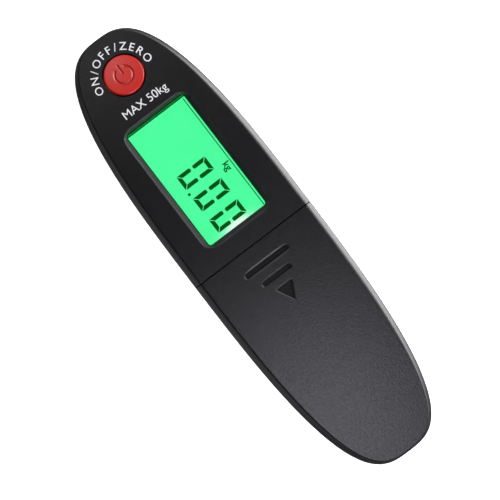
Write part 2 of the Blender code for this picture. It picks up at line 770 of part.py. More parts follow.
def build_tray_fittings(bm):
    """Posts that back the contacts at each end, and the tabs that the cover's lugs slide under."""
    width = BAY_HALF_WIDTH + TRAY_WALL
    for end in (-1, 1):
        inner, outer = sorted((end * (BAY_HALF_LENGTH + 0.05), end * (BAY_HALF_LENGTH + TRAY_WALL - 0.05)))
        for y in (-CELL_Y, CELL_Y):
            add_box(bm, (inner, y - 4.4, 0.5), (outer, y + 4.4, 3.2))
    for side in (-1, 1):
        profile = [
            (width - 1.0, 1.0),
            (width - 0.1, 1.0),
            (width - 0.1, 2.7),
            (17.6, 2.7),
            (17.6, 3.8),
            (width - 1.0, 3.8),
        ]
        add_loft(bm, [[(x, side * y, z) for y, z in profile] for x in (-12.5, -6.5)])


def build_tray_ears(bm):
    """Level ears for the two screws that hold the tray down."""
    for side in (-1, 1):
        inner, outer = sorted((side * (BAY_HALF_WIDTH + 0.4), side * 17.6))
        low = tray_ear_z()
        add_box(bm, (BAY_X - 3, inner, low), (BAY_X + 3, outer, low + 1.6))


def build_tray_ear_holes(bm):
    for side in (-1, 1):
        low = tray_ear_z()
        add_rod(bm, SCREW_HOLE_RADIUS, low - 2, low + 4, (BAY_X, side * TRAY_SCREW_Y), 12)


def make_battery_tray(frame):
    tray = make_part("battery_tray", "inner_plastic", build_tray, frame)
    inside = make_helper("cut_tray_inside", build_tray_inside, frame)
    fittings = make_helper("join_tray_fittings", build_tray_fittings, frame)
    ears = make_helper("join_tray_ears", build_tray_ears)
    ear_holes = make_helper("cut_tray_ear_holes", build_tray_ear_holes)
    boolean(tray, fittings, "UNION")
    boolean(tray, ears, "UNION")
    boolean(tray, inside)
    boolean(tray, ear_holes)


def spring_path(x_wide, x_narrow, y):
    """A conical helix of three and a half turns, wide at the wall and narrow at the cell."""
    steps_per_turn = 10
    turns = 3.5
    count = int(steps_per_turn * turns)
    path = []
    for i in range(count + 1):
        fraction = i / count
        radius = 3.2 - 1.2 * fraction
        angle = 2 * math.pi * turns * fraction
        x = x_wide + (x_narrow - x_wide) * fraction
        path.append((x, y + radius * math.cos(angle), radius * math.sin(angle)))
    return path


def build_cell(bm, centre_x, y, towards_tail):
    """One cell: sleeve, shoulder and positive button, lying along X."""
    half = CELL_LENGTH / 2
    profile = [(-half, CELL_RADIUS - 0.4), (-half + 0.4, CELL_RADIUS), (half - 1.4, CELL_RADIUS)]
    profile += [(half - 1.0, CELL_RADIUS - 0.5), (half - 1.0, 1.9), (half, 1.9)]
    direction = 1 if towards_tail else -1
    rings = []
    for x, radius in profile:
        ring = circle(radius, (0.0, 0.0), 0.0, 24)
        rings.append([(centre_x + direction * x, y + py, pz) for py, pz, _ in ring])
    add_loft(bm, rings)


def make_cells(frame):
    """Cell 1 points to the tail and cell 2 to the head, so a spring is at each cell's flat end."""
    shift = (2 * BAY_HALF_LENGTH - CELL_LENGTH) / 2 - 1.1
    make_part("aaa_cell_1", "cell_sleeve", lambda bm: build_cell(bm, shift, CELL_Y, True), frame)
    make_part("aaa_cell_2", "cell_sleeve", lambda bm: build_cell(bm, -shift, -CELL_Y, False), frame)

    plate = 0.4
    wall_gap = 0.2
    for number, y in enumerate((CELL_Y, -CELL_Y), 1):
        low = -BAY_HALF_LENGTH + wall_gap
        make_part(
            f"contact_plate_{number}",
            "nickel",
            lambda bm, y=y, low=low: add_box(bm, (low, y - 4.2, -4.2), (low + plate, y + 4.2, 3.4)),
            frame,
        )
    high = BAY_HALF_LENGTH - wall_gap
    make_part(
        "contact_bridge",
        "nickel",
        lambda bm: add_box(bm, (high - plate, -CELL_Y - 4.2, -4.2), (high, CELL_Y + 4.2, 3.0)),
        frame,
    )
    wall_x = BAY_HALF_LENGTH - wall_gap - plate - CLEARANCE - 0.3
    cell_x = CELL_LENGTH / 2 - shift + CLEARANCE + 0.3
    springs = ((-wall_x, -cell_x, CELL_Y), (wall_x, cell_x, -CELL_Y))
    for number, (x_wide, x_narrow, y) in enumerate(springs, 1):
        path = spring_path(x_wide, x_narrow, y)
        make_part(f"contact_spring_{number}", "nickel", lambda bm, p=path: add_tube(bm, p, 0.26, 6), frame)


# --------------------------------------------------------------------------------------- load path


def hook_path():
    """The hook's centre line: out of the barrel, aside to one flank, round the bowl, up to a flared tip."""
    knots = [(-1.6, 0.0), (-6.0, 0.2), (-11.0, 3.6), (-16.5, 9.0), (-22.5, 11.7)]
    arc_steps = 12
    for i in range(arc_steps + 1):
        angle = math.pi * i / arc_steps
        knots.append((HOOK_BOWL_X - HOOK_BOWL_RADIUS * math.sin(angle), HOOK_BOWL_RADIUS * math.cos(angle)))
    knots += [(-27.5, -12.1), (-23.0, -12.9), (-20.0, -14.0)]
    return smooth_path([(x, y, 0.0) for x, y in knots], 2)


def make_hook(frame):
    """The load hook. Its frame is on the pin's axis, and the mesh lies folded, flat along the belly."""
    hook = make_part("load_hook", "steel", lambda bm: add_tube(bm, hook_path(), HOOK_WIRE_RADIUS, 12), frame)

    def build_barrel(bm):
        rings = []
        for y in (-BARREL_HALF_LENGTH, BARREL_HALF_LENGTH):
            rings.append([(px, y, pz) for px, pz, _ in circle(BARREL_RADIUS, (0.0, 0.0), 0.0, 20)])
        add_loft(bm, rings)

    def build_bore(bm):
        rings = []
        for y in (-BARREL_HALF_LENGTH - 1, BARREL_HALF_LENGTH + 1):
            rings.append([(px, y, pz) for px, pz, _ in circle(PIN_HOLE_RADIUS, (0.0, 0.0), 0.0, 16)])
        add_loft(bm, rings)

    boolean(hook, make_helper("join_hook_barrel", build_barrel, frame), "UNION")
    boolean(hook, make_helper("cut_hook_bore", build_bore, frame))


def build_yoke_block(bm):
    """The clevis before its jaw is cut: rounded below, flat on top."""
    half = 3.2
    arc = [(half * math.cos(a), half * math.sin(a)) for a in (math.pi + math.pi * i / 10 for i in range(11))]
    profile = [(x, z * BARREL_RADIUS / half) for x, z in arc]
    profile += [(half, 3.2), (4.4, 3.2), (4.4, 5.4), (-4.4, 5.4), (-4.4, 3.2), (-half, 3.2)]
    add_loft(bm, [[(x, y, z) for x, z in profile] for y in (-YOKE_HALF_WIDTH, YOKE_HALF_WIDTH)])


def make_load_path(frame):
    beam_top = BEAM_BOTTOM + BEAM_THICKNESS
    jaw = BARREL_HALF_LENGTH + CLEARANCE

    yoke = make_part("hook_yoke", "steel", build_yoke_block, frame)
    stud = make_helper("join_yoke_stud", lambda bm: add_rod(bm, STUD_RADIUS, 4.6, 13.6, sides=20), frame)
    opening = make_helper("cut_yoke_jaw", lambda bm: add_box(bm, (-6, -jaw, -6), (6, jaw, 3.2)), frame)
    boolean(yoke, stud, "UNION")
    boolean(yoke, opening)

    def rings_along_y(profile, sides):
        return [[(px, y, pz) for px, pz, _ in circle(r, (0.0, 0.0), 0.0, sides)] for y, r in profile]

    reach = YOKE_HALF_WIDTH + 1
    boolean(
        yoke,
        make_helper(
            "cut_yoke_pin_holes",
            lambda bm: add_loft(bm, rings_along_y([(-reach, PIN_HOLE_RADIUS), (reach, PIN_HOLE_RADIUS)], 16)),
            frame,
        ),
    )
    head_in = YOKE_HALF_WIDTH + CLEARANCE
    head_out = head_in + 0.9
    pin_profile = [(-head_out, 2.1), (-head_in, 2.1), (-head_in, PIN_RADIUS)]
    pin_profile += [(head_in, PIN_RADIUS), (head_in, 2.1), (head_out, 2.1)]
    make_part("hook_pin", "zinc", lambda bm: add_loft(bm, rings_along_y(pin_profile, 16)), frame)

    beam = make_part(
        "load_cell_beam",
        "zinc",
        lambda bm: add_plate(
            bm,
            rounded_rectangle(2 * BEAM_HALF_LENGTH, 2 * BEAM_HALF_WIDTH, 2.0),
            BEAM_BOTTOM,
            beam_top,
        ),
    )

    def build_beam_holes(bm):
        add_rod(bm, STUD_RADIUS + 0.3, BEAM_BOTTOM - 1, beam_top + 1, sides=20)
        for side in (-1, 1):
            add_rod(bm, SCREW_HOLE_RADIUS, BEAM_BOTTOM - 1, beam_top + 1, (side * BEAM_SCREW_X, 0), 12)
        for x in (-10.0, 10.0):
            for side in (-1, 1):
                add_rod(bm, 1.6, BEAM_BOTTOM - 1, beam_top + 1, (x, side * BEAM_HALF_WIDTH), 12)

    boolean(beam, make_helper("cut_beam_holes", build_beam_holes))

    washer_low = beam_top + CLEARANCE
    washer_top = washer_low + 1.0
    nut_low = washer_top + CLEARANCE
    nut_top = nut_low + 3.2
    washer = make_part("yoke_washer", "steel", lambda bm: add_rod(bm, 4.6, washer_low, washer_top))
    nut = make_part("yoke_nut", "steel", lambda bm: add_rod(bm, 4.4, nut_low, nut_top, sides=6))
    for name, obj, low, high in (("washer", washer, washer_low, washer_top), ("nut", nut, nut_low, nut_top)):
        hole = make_helper(
            f"cut_{name}",
            lambda bm, a=low, b=high: add_rod(bm, STUD_RADIUS + CLEARANCE, a - 1, b + 1, sides=20),
        )
        boolean(obj, hole)

    gauge_low = beam_top + CLEARANCE
    gauge_top = gauge_low + 0.3
    gauge_plan = [(x + GAUGE_X, y) for x, y in rounded_rectangle(6.0, 7.0, 0.4)]
    make_part("strain_gauge", "gauge_foil", lambda bm: add_plate(bm, gauge_plan, gauge_low, gauge_top))
    sealant_low = gauge_top + CLEARANCE
    sealant = rounded_rectangle(7.0, 8.0, 2.4)
    dome = [[(s * x + GAUGE_X, s * y, sealant_low + z) for x, y in sealant] for s, z in SEALANT_STEPS]
    make_part("gauge_sealant", "silicone", lambda bm: add_loft(bm, dome))


# --------------------------------------------------------------------------------------- fasteners


def build_screw(bm, length):
    """A pan-head screw, tip up, with its head's bearing side at z = 0."""
    profile = [
        (SCREW_HEAD_RADIUS * 0.7, -SCREW_HEAD_HEIGHT),
        (SCREW_HEAD_RADIUS, -SCREW_HEAD_HEIGHT * 0.6),
        (SCREW_HEAD_RADIUS, 0.0),
        (SCREW_SHANK_RADIUS, 0.0),
        (SCREW_SHANK_RADIUS, length - 1.2),
        (0.4, length),
    ]
    add_turned(bm, profile, sides=14)


def make_screws():
    """Each screw is its own object. Those of one length share a mesh."""
    groups = []
    seats = (HEAD_SCREW, MIDDLE_SCREW)
    housing = [(x, s * y, seat - CLEARANCE, False) for x, y, seat in seats for s in (-1, 1)]
    groups.append(("housing_screw", SCREW_LENGTH, housing))
    board_x, board_y = BOARD_SCREW
    board_low = board_z(board_x) - BOARD_THICKNESS - 2 * CLEARANCE
    groups.append(("pcb_screw", 5.0, [(board_x, s * board_y, board_low, False) for s in (-1, 1)]))
    ear_top = tray_ear_z() + 1.6 + CLEARANCE
    groups.append(("tray_screw", 6.2, [(BAY_X, s * TRAY_SCREW_Y, ear_top, True) for s in (-1, 1)]))
    beam_top = BEAM_BOTTOM + BEAM_THICKNESS + CLEARANCE
    groups.append(("beam_screw", 5.2, [(s * BEAM_SCREW_X, 0.0, beam_top, True) for s in (-1, 1)]))
    for name, length, places in groups:
        shared = None
        for number, (x, y, z, head_up) in enumerate(places, 1):
            screw = make_part(f"{name}_{number}", "zinc", lambda bm, size=length: build_screw(bm, size))
            if shared is None:
                shared = screw.data
            else:
                spare = screw.data
                screw.data = shared
                bpy.data.meshes.remove(spare)
            screw.location = Vector((x, y, z)) * MM
            if head_up:
                screw.rotation_euler.x = math.pi


# ------------------------------------------------------------------------------------------- wires


def make_wires():
    """Battery leads from the tray's front contacts to the board, and the strain gauge's three fine leads."""
    front_x = BAY_X - (BAY_HALF_LENGTH - 0.4) * math.cos(BAY_TILT)
    contact_top = BAY_Z + (BAY_HALF_LENGTH - 0.4) * math.sin(BAY_TILT) + 3.4
    board_end = -5.0
    leads = (("battery_wire_red", "red_wire", -1), ("battery_wire_black", "black_wire", 1))
    for name, material, side in leads:
        knots = [
            (front_x + 0.4, side * CELL_Y, contact_top + 1.0),
            (front_x - 2.0, side * (CELL_Y + 0.6), contact_top + 0.9),
            (2.5, side * 8.0, 24.0),
            (-1.5, side * 9.2, 21.0),
            (board_end + 0.6, side * 9.4, 18.4),
            (board_end - 3.5, side * 9.4, 18.3),
        ]
        make_part(name, material, lambda bm, k=knots: add_tube(bm, smooth_path(k, 4), 0.6, 8))
    wires = (("gauge_wire_1", "red_wire"), ("gauge_wire_2", "white_wire"), ("gauge_wire_3", "black_wire"))
    for number, (name, material) in enumerate(wires):
        y = (number - 1) * 2.4
        knots = [(-14.4, y, 14.0), (-17.0, y, 15.2), (-20.0, y, 16.3), (-23.0, y, 17.0), (-26.0, y, 17.2)]
        make_part(name, material, lambda bm, k=knots: add_tube(bm, smooth_path(k, 3), 0.45, 6))


def main():
    for obj in list(bpy.data.objects):
        bpy.data.objects.remove(obj, do_unlink=True)
    make_materials()

    display_tilt = -math.atan(-DISPLAY_X / ARCH_RADIUS)
    display_frame = make_frame("display_frame", (DISPLAY_X, 0, face_z(DISPLAY_X, 0)), display_tilt)
    button_frame = make_frame("button_axis", (BUTTON_X, 0, face_z(BUTTON_X, 0)), display_tilt)
    bay_frame = make_frame("battery_bay_frame", (BAY_X, 0, BAY_Z), BAY_TILT)
    hook_frame = make_frame("hook_pin_axis", (0, 0, HOOK_Z))

    make_head_cover(display_frame, button_frame)
    make_battery_cover()
    make_bottom_housing()
    make_display(display_frame)
    make_board(display_frame)
    make_button(button_frame)
    make_battery_tray(bay_frame)
    make_cells(bay_frame)
    make_hook(hook_frame)
    make_load_path(hook_frame)
    make_screws()
    make_wires()


main()
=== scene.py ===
"""The looks of a digital luggage scale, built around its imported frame.

Shapes are worked out in millimetres in the frame's own axes: +X runs from the button end (the head) to the
battery end (the tail), +Y is across the handle and +Z is up out of the display. build turns them into metres.
"""

import math

import bmesh
import bpy
from mathutils import Matrix, Vector


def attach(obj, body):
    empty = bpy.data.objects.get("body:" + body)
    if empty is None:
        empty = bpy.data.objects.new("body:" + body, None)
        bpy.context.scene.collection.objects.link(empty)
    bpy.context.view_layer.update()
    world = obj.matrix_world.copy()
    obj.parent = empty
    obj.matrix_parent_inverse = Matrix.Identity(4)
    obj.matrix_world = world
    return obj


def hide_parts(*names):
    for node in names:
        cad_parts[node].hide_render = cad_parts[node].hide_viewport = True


MM = 0.001

# The casing's surfaces, as the frame has them
PLAN_CENTRE = -5.0
HEAD_REACH, TAIL_REACH = 70.0, 80.0
HEAD_POWER, TAIL_POWER = 2.85, 3.1
HALF_WIDTH = 20.75
HEIGHT = 30.0
ARCH_RADIUS = 290.0
CROWN_RADIUS = 300.0
FACE_INSET = 1.75  # the face's edge, inside the widest line
TIP_SHARE = 0.45  # the part of that inset that is left at the two tips
UPPER_DEPTH = 8.0
WALL = 2.0
BELLY_RISE, BELLY_REACH, FOOT_SINK = 7.0, 58.0, 1.0
TIP_START, TIP_REACH = 66.0, 75.0
HULL_POWER, TIP_POWER = 3.2, 2.4
HALF_GAP = 0.15  # half the parting line between the upper shells
RIM_GAP = 0.3  # between the upper shells and the housing
SHARP_ANGLE = 12.5  # degrees between two facets that meet in an edge

# Display, button and battery bay
DISPLAY_X = -27.0
BUTTON_X = -61.5
WINDOW_DEPTH = 2.1
WINDOW_OPENING = (42.0, 23.0)
WINDOW_VIEW = (40.4, 20.9)
VIEW_SHIFT = -0.3
LIT_AREA = (39.2, 20.3)
LAMP_SPREAD = (1.5, 4.6)
LAYER_GAP = 0.3
WINDOW_SEAT = (43.4, 24.4)
PANE_SIZE, PANEL_SIZE, GUIDE_SIZE = (42.8, 23.8), (42.0, 23.0), (39.0, 20.0)
PANE_THICKNESS, PANEL_THICKNESS, GUIDE_THICKNESS = 1.2, 2.2, 2.5
BUTTON_RADIUS = 5.95
BUTTON_HOLE_RADIUS = 6.35
BUTTON_PROUD, BUTTON_DOME_RADIUS = 0.7, 60.0
BUTTON_SLOPE = (DISPLAY_X - BUTTON_X) / ARCH_RADIUS  # of the face there, seen from the tilted button
BAY_X, BAY_Z, BAY_TILT = 32.0, 19.54, math.radians(5.5)
CELL_RADIUS, CELL_LENGTH, CELL_Y = 5.25, 44.5, 5.6
BAY_HALF_LENGTH = 25.25
CELL_SHIFT = (2 * BAY_HALF_LENGTH - CELL_LENGTH) / 2 - 1.1

# Load path
HOOK_Z = 3.7
HOOK_WIRE_RADIUS = 1.9
HOOK_BOWL_X, HOOK_BOWL_RADIUS = -34.0, 12.0
BARREL_RADIUS, BARREL_HALF_LENGTH = 2.75, 3.8
PIN_HOLE_RADIUS = 1.6
POCKET_CEILING, POCKET_HALF_WIDTH = 6.1, 15.0
POCKET_TAIL_X, POCKET_HEAD_X = -16.0, -51.0
SCREW_HEAD_RADIUS, SCREW_HOLE_RADIUS, BOSS_RADIUS = 2.2, 1.5, 2.3
HOUSING_SCREWS = ((-62.5, 10.6, 7.5), (-8.0, 16.3, 14.0))
BOARD_SCREW = (-52.8, 10.5)
TRAY_SCREW_Y = 15.2
BEAM_BOTTOM, BEAM_SCREW_X = 9.4, 18.5

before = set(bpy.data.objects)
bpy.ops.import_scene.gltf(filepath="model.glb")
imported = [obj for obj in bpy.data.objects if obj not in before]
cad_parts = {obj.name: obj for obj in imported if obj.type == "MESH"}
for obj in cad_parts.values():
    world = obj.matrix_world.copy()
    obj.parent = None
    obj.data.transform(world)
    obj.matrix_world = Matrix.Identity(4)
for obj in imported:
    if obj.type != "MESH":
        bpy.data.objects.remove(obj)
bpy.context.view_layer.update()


# ---------------------------------------- casing surfaces


def half_width(x, inset=0.0, inset_at_tip=None):
    """Half the plan's width at x, drawn in by inset, and by inset_at_tip along the handle."""
    head = x < PLAN_CENTRE
    reach = (HEAD_REACH if head else TAIL_REACH) - (inset if inset_at_tip is None else inset_at_tip)
    power = HEAD_POWER if head else TAIL_POWER
    fraction = min(abs(x - PLAN_CENTRE) / reach, 1.0)
    return (HALF_WIDTH - inset) * (1 - fraction**power) ** (1 / power)


def outline_point(angle, inset):
    """A point of the plan's outline, drawn in by inset."""
    along, across = math.cos(angle), math.sin(angle)
    head = along < 0
    reach = (HEAD_REACH if head else TAIL_REACH) - inset
    power = 2 / (HEAD_POWER if head else TAIL_POWER)
    x = PLAN_CENTRE + math.copysign(reach * abs(along) ** power, along)
    return x, math.copysign((HALF_WIDTH - inset) * abs(across) ** power, across)


def spine_z(x):
    """Height of the face along its middle line."""
    return HEIGHT - x**2 / (2 * ARCH_RADIUS)


def face_z(x, y):
    """Height of the face, which arches along the handle and is crowned across it."""
    return spine_z(x) - y**2 / (2 * CROWN_RADIUS)


def girth_z(x):
    """Height of the widest line, where the upper shells meet the housing."""
    return spine_z(x) - UPPER_DEPTH


def keel_z(x, wall=0.0):
    """Height of the housing's lowest line: a hollow belly between two feet, and rounded tips."""
    low = max(BELLY_RISE * (1 - (x / BELLY_REACH) ** 2), -FOOT_SINK) + wall
    rise = (abs(x) - TIP_START) / (TIP_REACH - TIP_START - wall)
    if rise <= 0:
        return low
    rise = min(rise, 1.0)
    return low + (girth_z(x) - low) * (1 - (1 - rise**TIP_POWER) ** (1 / TIP_POWER))


def hull_z(x, y, wall=0.0):
    """Height of the housing's underside, or of a surface that far inside it."""
    fraction = min(abs(y) / max(half_width(x, wall), 1e-6), 1.0)
    keel = keel_z(x, wall)
    return keel + (girth_z(x) - keel) * (1 - (1 - fraction**HULL_POWER) ** (1 / HULL_POWER))


def tilted(x, z=None, tilt=None):
    """A frame on the face's middle line at x, tilted as the display is, or at another height and tilt."""
    height = spine_z(x) if z is None else z
    angle = math.atan(DISPLAY_X / ARCH_RADIUS) if tilt is None else tilt
    return Matrix.Translation((x, 0, height)) @ Matrix.Rotation(angle, 4, "Y")


DISPLAY_FRAME = tilted(DISPLAY_X)
BUTTON_FRAME = tilted(BUTTON_X)
BAY_FRAME = tilted(BAY_X, BAY_Z, BAY_TILT)
HOOK_FRAME = Matrix.Translation((0, 0, HOOK_Z))


# ---------------------------------------- mesh helpers


def add_loft(bm, rings, closed=True, cap=True):
    """Skins rows of points. A one-point row closes to a pole, and full rows at the ends are capped."""
    rows = [[bm.verts.new(point) for point in ring] for ring in rings]
    for row, following in zip(rows, rows[1:]):
        count = max(len(row), len(following))
        for i in range(count if closed else count - 1):
            j = (i + 1) % count
            corners = [row[i % len(row)], row[j % len(row)]]
            corners += [following[j % len(following)], following[i % len(following)]]
            corners = list(dict.fromkeys(corners))
            if len(corners) > 2:
                bm.faces.new(corners)
    if cap:
        for row in (rows[0], rows[-1]):
            if len(row) > 2:
                bm.faces.new(row)
    return rows


def arc(centre, radius, start, sweep, steps):
    """Points of an arc, both its ends included."""
    turns = [start + sweep * i / steps for i in range(steps + 1)]
    return [(centre[0] + radius * math.cos(a), centre[1] + radius * math.sin(a)) for a in turns]


def circle(radius, sides, centre=(0.0, 0.0)):
    return arc(centre, radius, 0.0, 2 * math.pi, sides)[:-1]


def blend(start, corner, end, t):
    """A point of the quadratic curve that rounds a corner, with t from 0 to 1 along it."""
    return (1 - t) ** 2 * start + 2 * t * (1 - t) * corner + t**2 * end


def add_turned(bm, profile, centre=(0.0, 0.0), sides=48, axis="Z"):
    """A solid of revolution from (radius, place along the axis) points, about a line through centre."""
    rings = []
    for radius, along in profile:
        plan = [centre] if radius == 0 else circle(radius, sides, centre)
        if axis == "X":
            rings.append([(along, a, b) for a, b in plan])
        elif axis == "Y":
            rings.append([(a, along, b) for a, b in plan])
        else:
            rings.append([(a, b, along) for a, b in plan])
    add_loft(bm, rings)


def rounded_rectangle(length, width, corner, steps=8):
    x, y = length / 2 - corner, width / 2 - corner
    points = []
    for quarter, centre in enumerate(((x, y), (-x, y), (-x, -y), (x, -y))):
        points += arc(centre, corner, math.pi / 2 * quarter, math.pi / 2, steps)
    return points


def add_prism(bm, plan, z_low, z_high):
    """An upright prism over a plan."""
    add_loft(bm, [[(x, y, z) for x, y in plan] for z in (z_low, z_high)])


def add_slab(bm, length, width, corner, z_low, z_high, edge):
    """A flat plate with rounded corners and softened edges."""
    levels = [(z_low, edge), (z_low + edge, 0.0)]
    levels += [(z_high - edge, 0.0), (z_high - edge * 0.3, edge * 0.3), (z_high, edge)]
    rings = []
    for z, inset in levels:
        plan = rounded_rectangle(length - 2 * inset, width - 2 * inset, max(corner - inset, 0.02))
        rings.append([(x, y, z) for x, y in plan])
    add_loft(bm, rings)


def add_box(bm, low, high):
    """A block between two opposite corners."""
    corners = [(low[0], low[1]), (high[0], low[1]), (high[0], high[1]), (low[0], high[1])]
    add_prism(bm, corners, low[2], high[2])


def add_rod(bm, radius, z_low, z_high, centre=(0.0, 0.0), sides=48):
    """An upright round post."""
    add_turned(bm, [(radius, z_low), (radius, z_high)], centre, sides)


def tube_rings(path, radii, sides):
    """Rings round a path, each with its own radius, carried along without twisting."""
    points = [Vector(point) for point in path]
    rings, side = [], None
    for i, point in enumerate(points):
        tangent = (points[min(i + 1, len(points) - 1)] - points[max(i - 1, 0)]).normalized()
        if side is None:
            side = tangent.orthogonal().normalized()
        side = (side - tangent * side.dot(tangent)).normalized()
        other = tangent.cross(side)
        rings.append([point + radii[i] * (side * u + other * v) for u, v in circle(1.0, sides)])
    return rings


def add_tube(bm, path, radius, sides):
    """A round wire along a path, with domed ends that reach its first and last points."""
    points = [Vector(point) for point in path]
    first, last = points[0], points[-1]
    middle = [p for p in points if min((p - first).length, (p - last).length) > 1.1 * radius]
    dome = [(math.sin(turn), math.cos(turn)) for turn in (0.0, 0.5, 0.95, 1.3, 1.5)]
    wire = []
    for up, wide in reversed(dome):
        wire.append((first + (first - middle[0]).normalized() * radius * (up - 1), radius * wide))
    wire += [(point, radius) for point in middle]
    for up, wide in dome:
        wire.append((last + (last - middle[-1]).normalized() * radius * (up - 1), radius * wide))
    add_loft(bm, tube_rings([point for point, _ in wire], [wide for _, wide in wire], sides))


def smooth_path(knots, steps):
    """Points of a Catmull-Rom curve through the knots."""
    ends = [Vector(knots[0]) * 2 - Vector(knots[1])]
    ends += [Vector(knot) for knot in knots]
    ends.append(Vector(knots[-1]) * 2 - Vector(knots[-2]))
    path = []
    for a, b, c, d in zip(ends, ends[1:], ends[2:], ends[3:]):
        for i in range(steps):
            t = i / steps
            straight = 2 * b + (c - a) * t
            bend = (2 * a - 5 * b + 4 * c - d) * t**2
            twist = (3 * b - a - 3 * c + d) * t**3
            path.append((straight + bend + twist) / 2)
    path.append(ends[-2])
    return path


def build(name, make, matrix=None):
    """A mesh object in metres from the bmesh in millimetres that make(bm) fills in."""
    bm = bmesh.new()
    make(bm)
    if matrix is not None:
        bmesh.ops.transform(bm, matrix=matrix, verts=bm.verts)
    bmesh.ops.recalc_face_normals(bm, faces=bm.faces)
    bmesh.ops.transform(bm, matrix=Matrix.Scale(MM, 4), verts=bm.verts)
    mesh = bpy.data.meshes.new(name)
    bm.to_mesh(mesh)
    bm.free()
    obj = bpy.data.objects.new(name, mesh)
    bpy.context.scene.collection.objects.link(obj)
    return obj


def combine(obj, *steps, material_mode="INDEX"):
    """Cuts or joins (operation, helper object) pairs, in order, and removes the helpers.

    With the material mode TRANSFER, the surface that a helper leaves has the helper's own material.
    """
    for operation, helper in steps:
        modifier = obj.modifiers.new(helper.name, "BOOLEAN")
        modifier.operation = operation
        modifier.solver = "EXACT"
        modifier.material_mode = material_mode
        modifier.object = helper
    bpy.context.view_layer.update()
    graph = bpy.context.evaluated_depsgraph_get()
    mesh = bpy.data.meshes.new_from_object(obj.evaluated_get(graph))
    obj.modifiers.clear()
    obj.data = mesh
    for _, helper in steps:
        bpy.data.objects.remove(helper)
    return obj


def finish_piece(obj, looks, body, nodes=()):
    """Shades the piece, gives it the materials of these names and sets what it rides on and stands for."""
    obj.data.materials.clear()
    for look in looks:
        obj.data.materials.append(MATERIALS[look])
    obj.data.shade_smooth()
    obj.data.set_sharp_from_angle(angle=math.radians(SHARP_ANGLE))
    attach(obj, body)
    if nodes:
        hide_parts(*nodes)
    return obj


def shade_by_area(obj):
    """Lets the large flat sides of a piece shade flat beside their narrow edges."""
    modifier = obj.modifiers.new("shade_by_area", "WEIGHTED_NORMAL")
    modifier.keep_sharp = True


def shade_face_true(mesh):
    """Gives the casing's face its true normals, so that its openings don't bend the light round them."""
    normals = [(0.0, 0.0, 0.0)] * len(mesh.loops)
    for polygon in mesh.polygons:
        for loop in polygon.loop_indices:
            x, y, z = mesh.vertices[mesh.loops[loop].vertex_index].co / MM
            true = Vector((x / ARCH_RADIUS, y / CROWN_RADIUS, 1.0)).normalized()
            on_the_face = abs(z - face_z(x, y)) < 0.02
            if on_the_face and polygon.normal.dot(true) > 0.98:
                normals[loop] = true
    mesh.normals_split_custom_set(normals)


# ---------------------------------------- materials


def set_inputs(node, **values):
    """Sets inputs of a node, with underscores for the spaces in their names."""
    for name, value in values.items():
        node.inputs[name.replace("_", " ")].default_value = value


class Nodes:
    """A material's node tree with a few short ways to add to it.

    Lengths are in millimetres of the object's space.
    """

    def __init__(self, name):
        self.material = bpy.data.materials.new(name)
        self.material.use_nodes = True
        self.tree = self.material.node_tree
        self.shader = self.tree.nodes["Principled BSDF"]
        scale = self.add("Mapping", Scale=(1 / MM, 1 / MM, 1 / MM))
        self.link(self.add("TexCoord").outputs["Object"], scale.inputs["Vector"])
        self.place = scale.outputs["Vector"]

    def add(self, kind, **values):
        """Adds a node with these inputs."""
        node = self.tree.nodes.new("ShaderNode" + kind)
        set_inputs(node, **values)
        return node

    def link(self, output, socket):
        """Joins an output to an input socket, or to the shader's input of this name."""
        self.tree.links.new(output, self.shader.inputs[socket] if isinstance(socket, str) else socket)

    def noise(self, size, detail=2.0, stretch=(1, 1, 1), roughness=0.5):
        """Noise whose features are about this many millimetres across."""
        mapping = self.add("Mapping", Scale=tuple(s / size for s in stretch))
        node = self.add("TexNoise", Scale=1.0, Detail=detail, Roughness=roughness)
        self.link(self.place, mapping.inputs["Vector"])
        self.link(mapping.outputs["Vector"], node.inputs["Vector"])
        return node.outputs["Fac"]

    def spread(self, value, low, high):
        """Spreads noise, which mostly lies between 0.3 and 0.7, from low to high."""
        node = self.add("MapRange", From_Min=0.3, From_Max=0.7, To_Min=low, To_Max=high)
        self.link(value, node.inputs["Value"])
        return node.outputs["Result"]

    def ramp(self, value, stops):
        """A colour for each value, from (value, colour) stops."""
        node = self.add("ValToRGB")
        ramp = node.color_ramp
        while len(ramp.elements) < len(stops):
            ramp.elements.new(0.5)
        for element, (position, colour) in zip(ramp.elements, stops):
            element.position = position
            element.color = (*colour, 1.0)
        self.link(value, node.inputs["Fac"])
        return node.outputs["Color"]

    def bump(self, heights, distance):
        """Bump from (height output, strength) pairs, stacked."""
        last = None
        for height, strength in heights:
            node = self.add("Bump", Strength=strength, Distance=distance * MM)
            self.link(height, node.inputs["Height"])
            if last is not None:
                self.link(last, node.inputs["Normal"])
            last = node.outputs["Normal"]
        self.link(last, "Normal")

    def set(self, **values):
        """Sets the shader's inputs."""
        set_inputs(self.shader, **values)


def plastic(name, colour, roughness, grain=0.22, depth=0.10, varied=0.12, specular=0.5):
    """Moulded plastic: fine spark-eroded grain, and slow changes of shade and gloss."""
    nodes = Nodes(name)
    nodes.set(Specular_IOR_Level=specular)
    slow = nodes.noise(14.0, 3.0)
    fine = nodes.noise(grain, 3.0, roughness=0.65)
    dark = tuple(c * (1 - varied) for c in colour)
    light = tuple(min(c * (1 + varied), 1.0) for c in colour)
    nodes.link(nodes.ramp(slow, ((0.3, dark), (0.7, light))), "Base Color")
    nodes.link(nodes.spread(fine, roughness - 0.04, roughness + 0.04), "Roughness")
    nodes.bump([(fine, depth), (slow, 0.02)], 0.12 * grain)
    return nodes.material


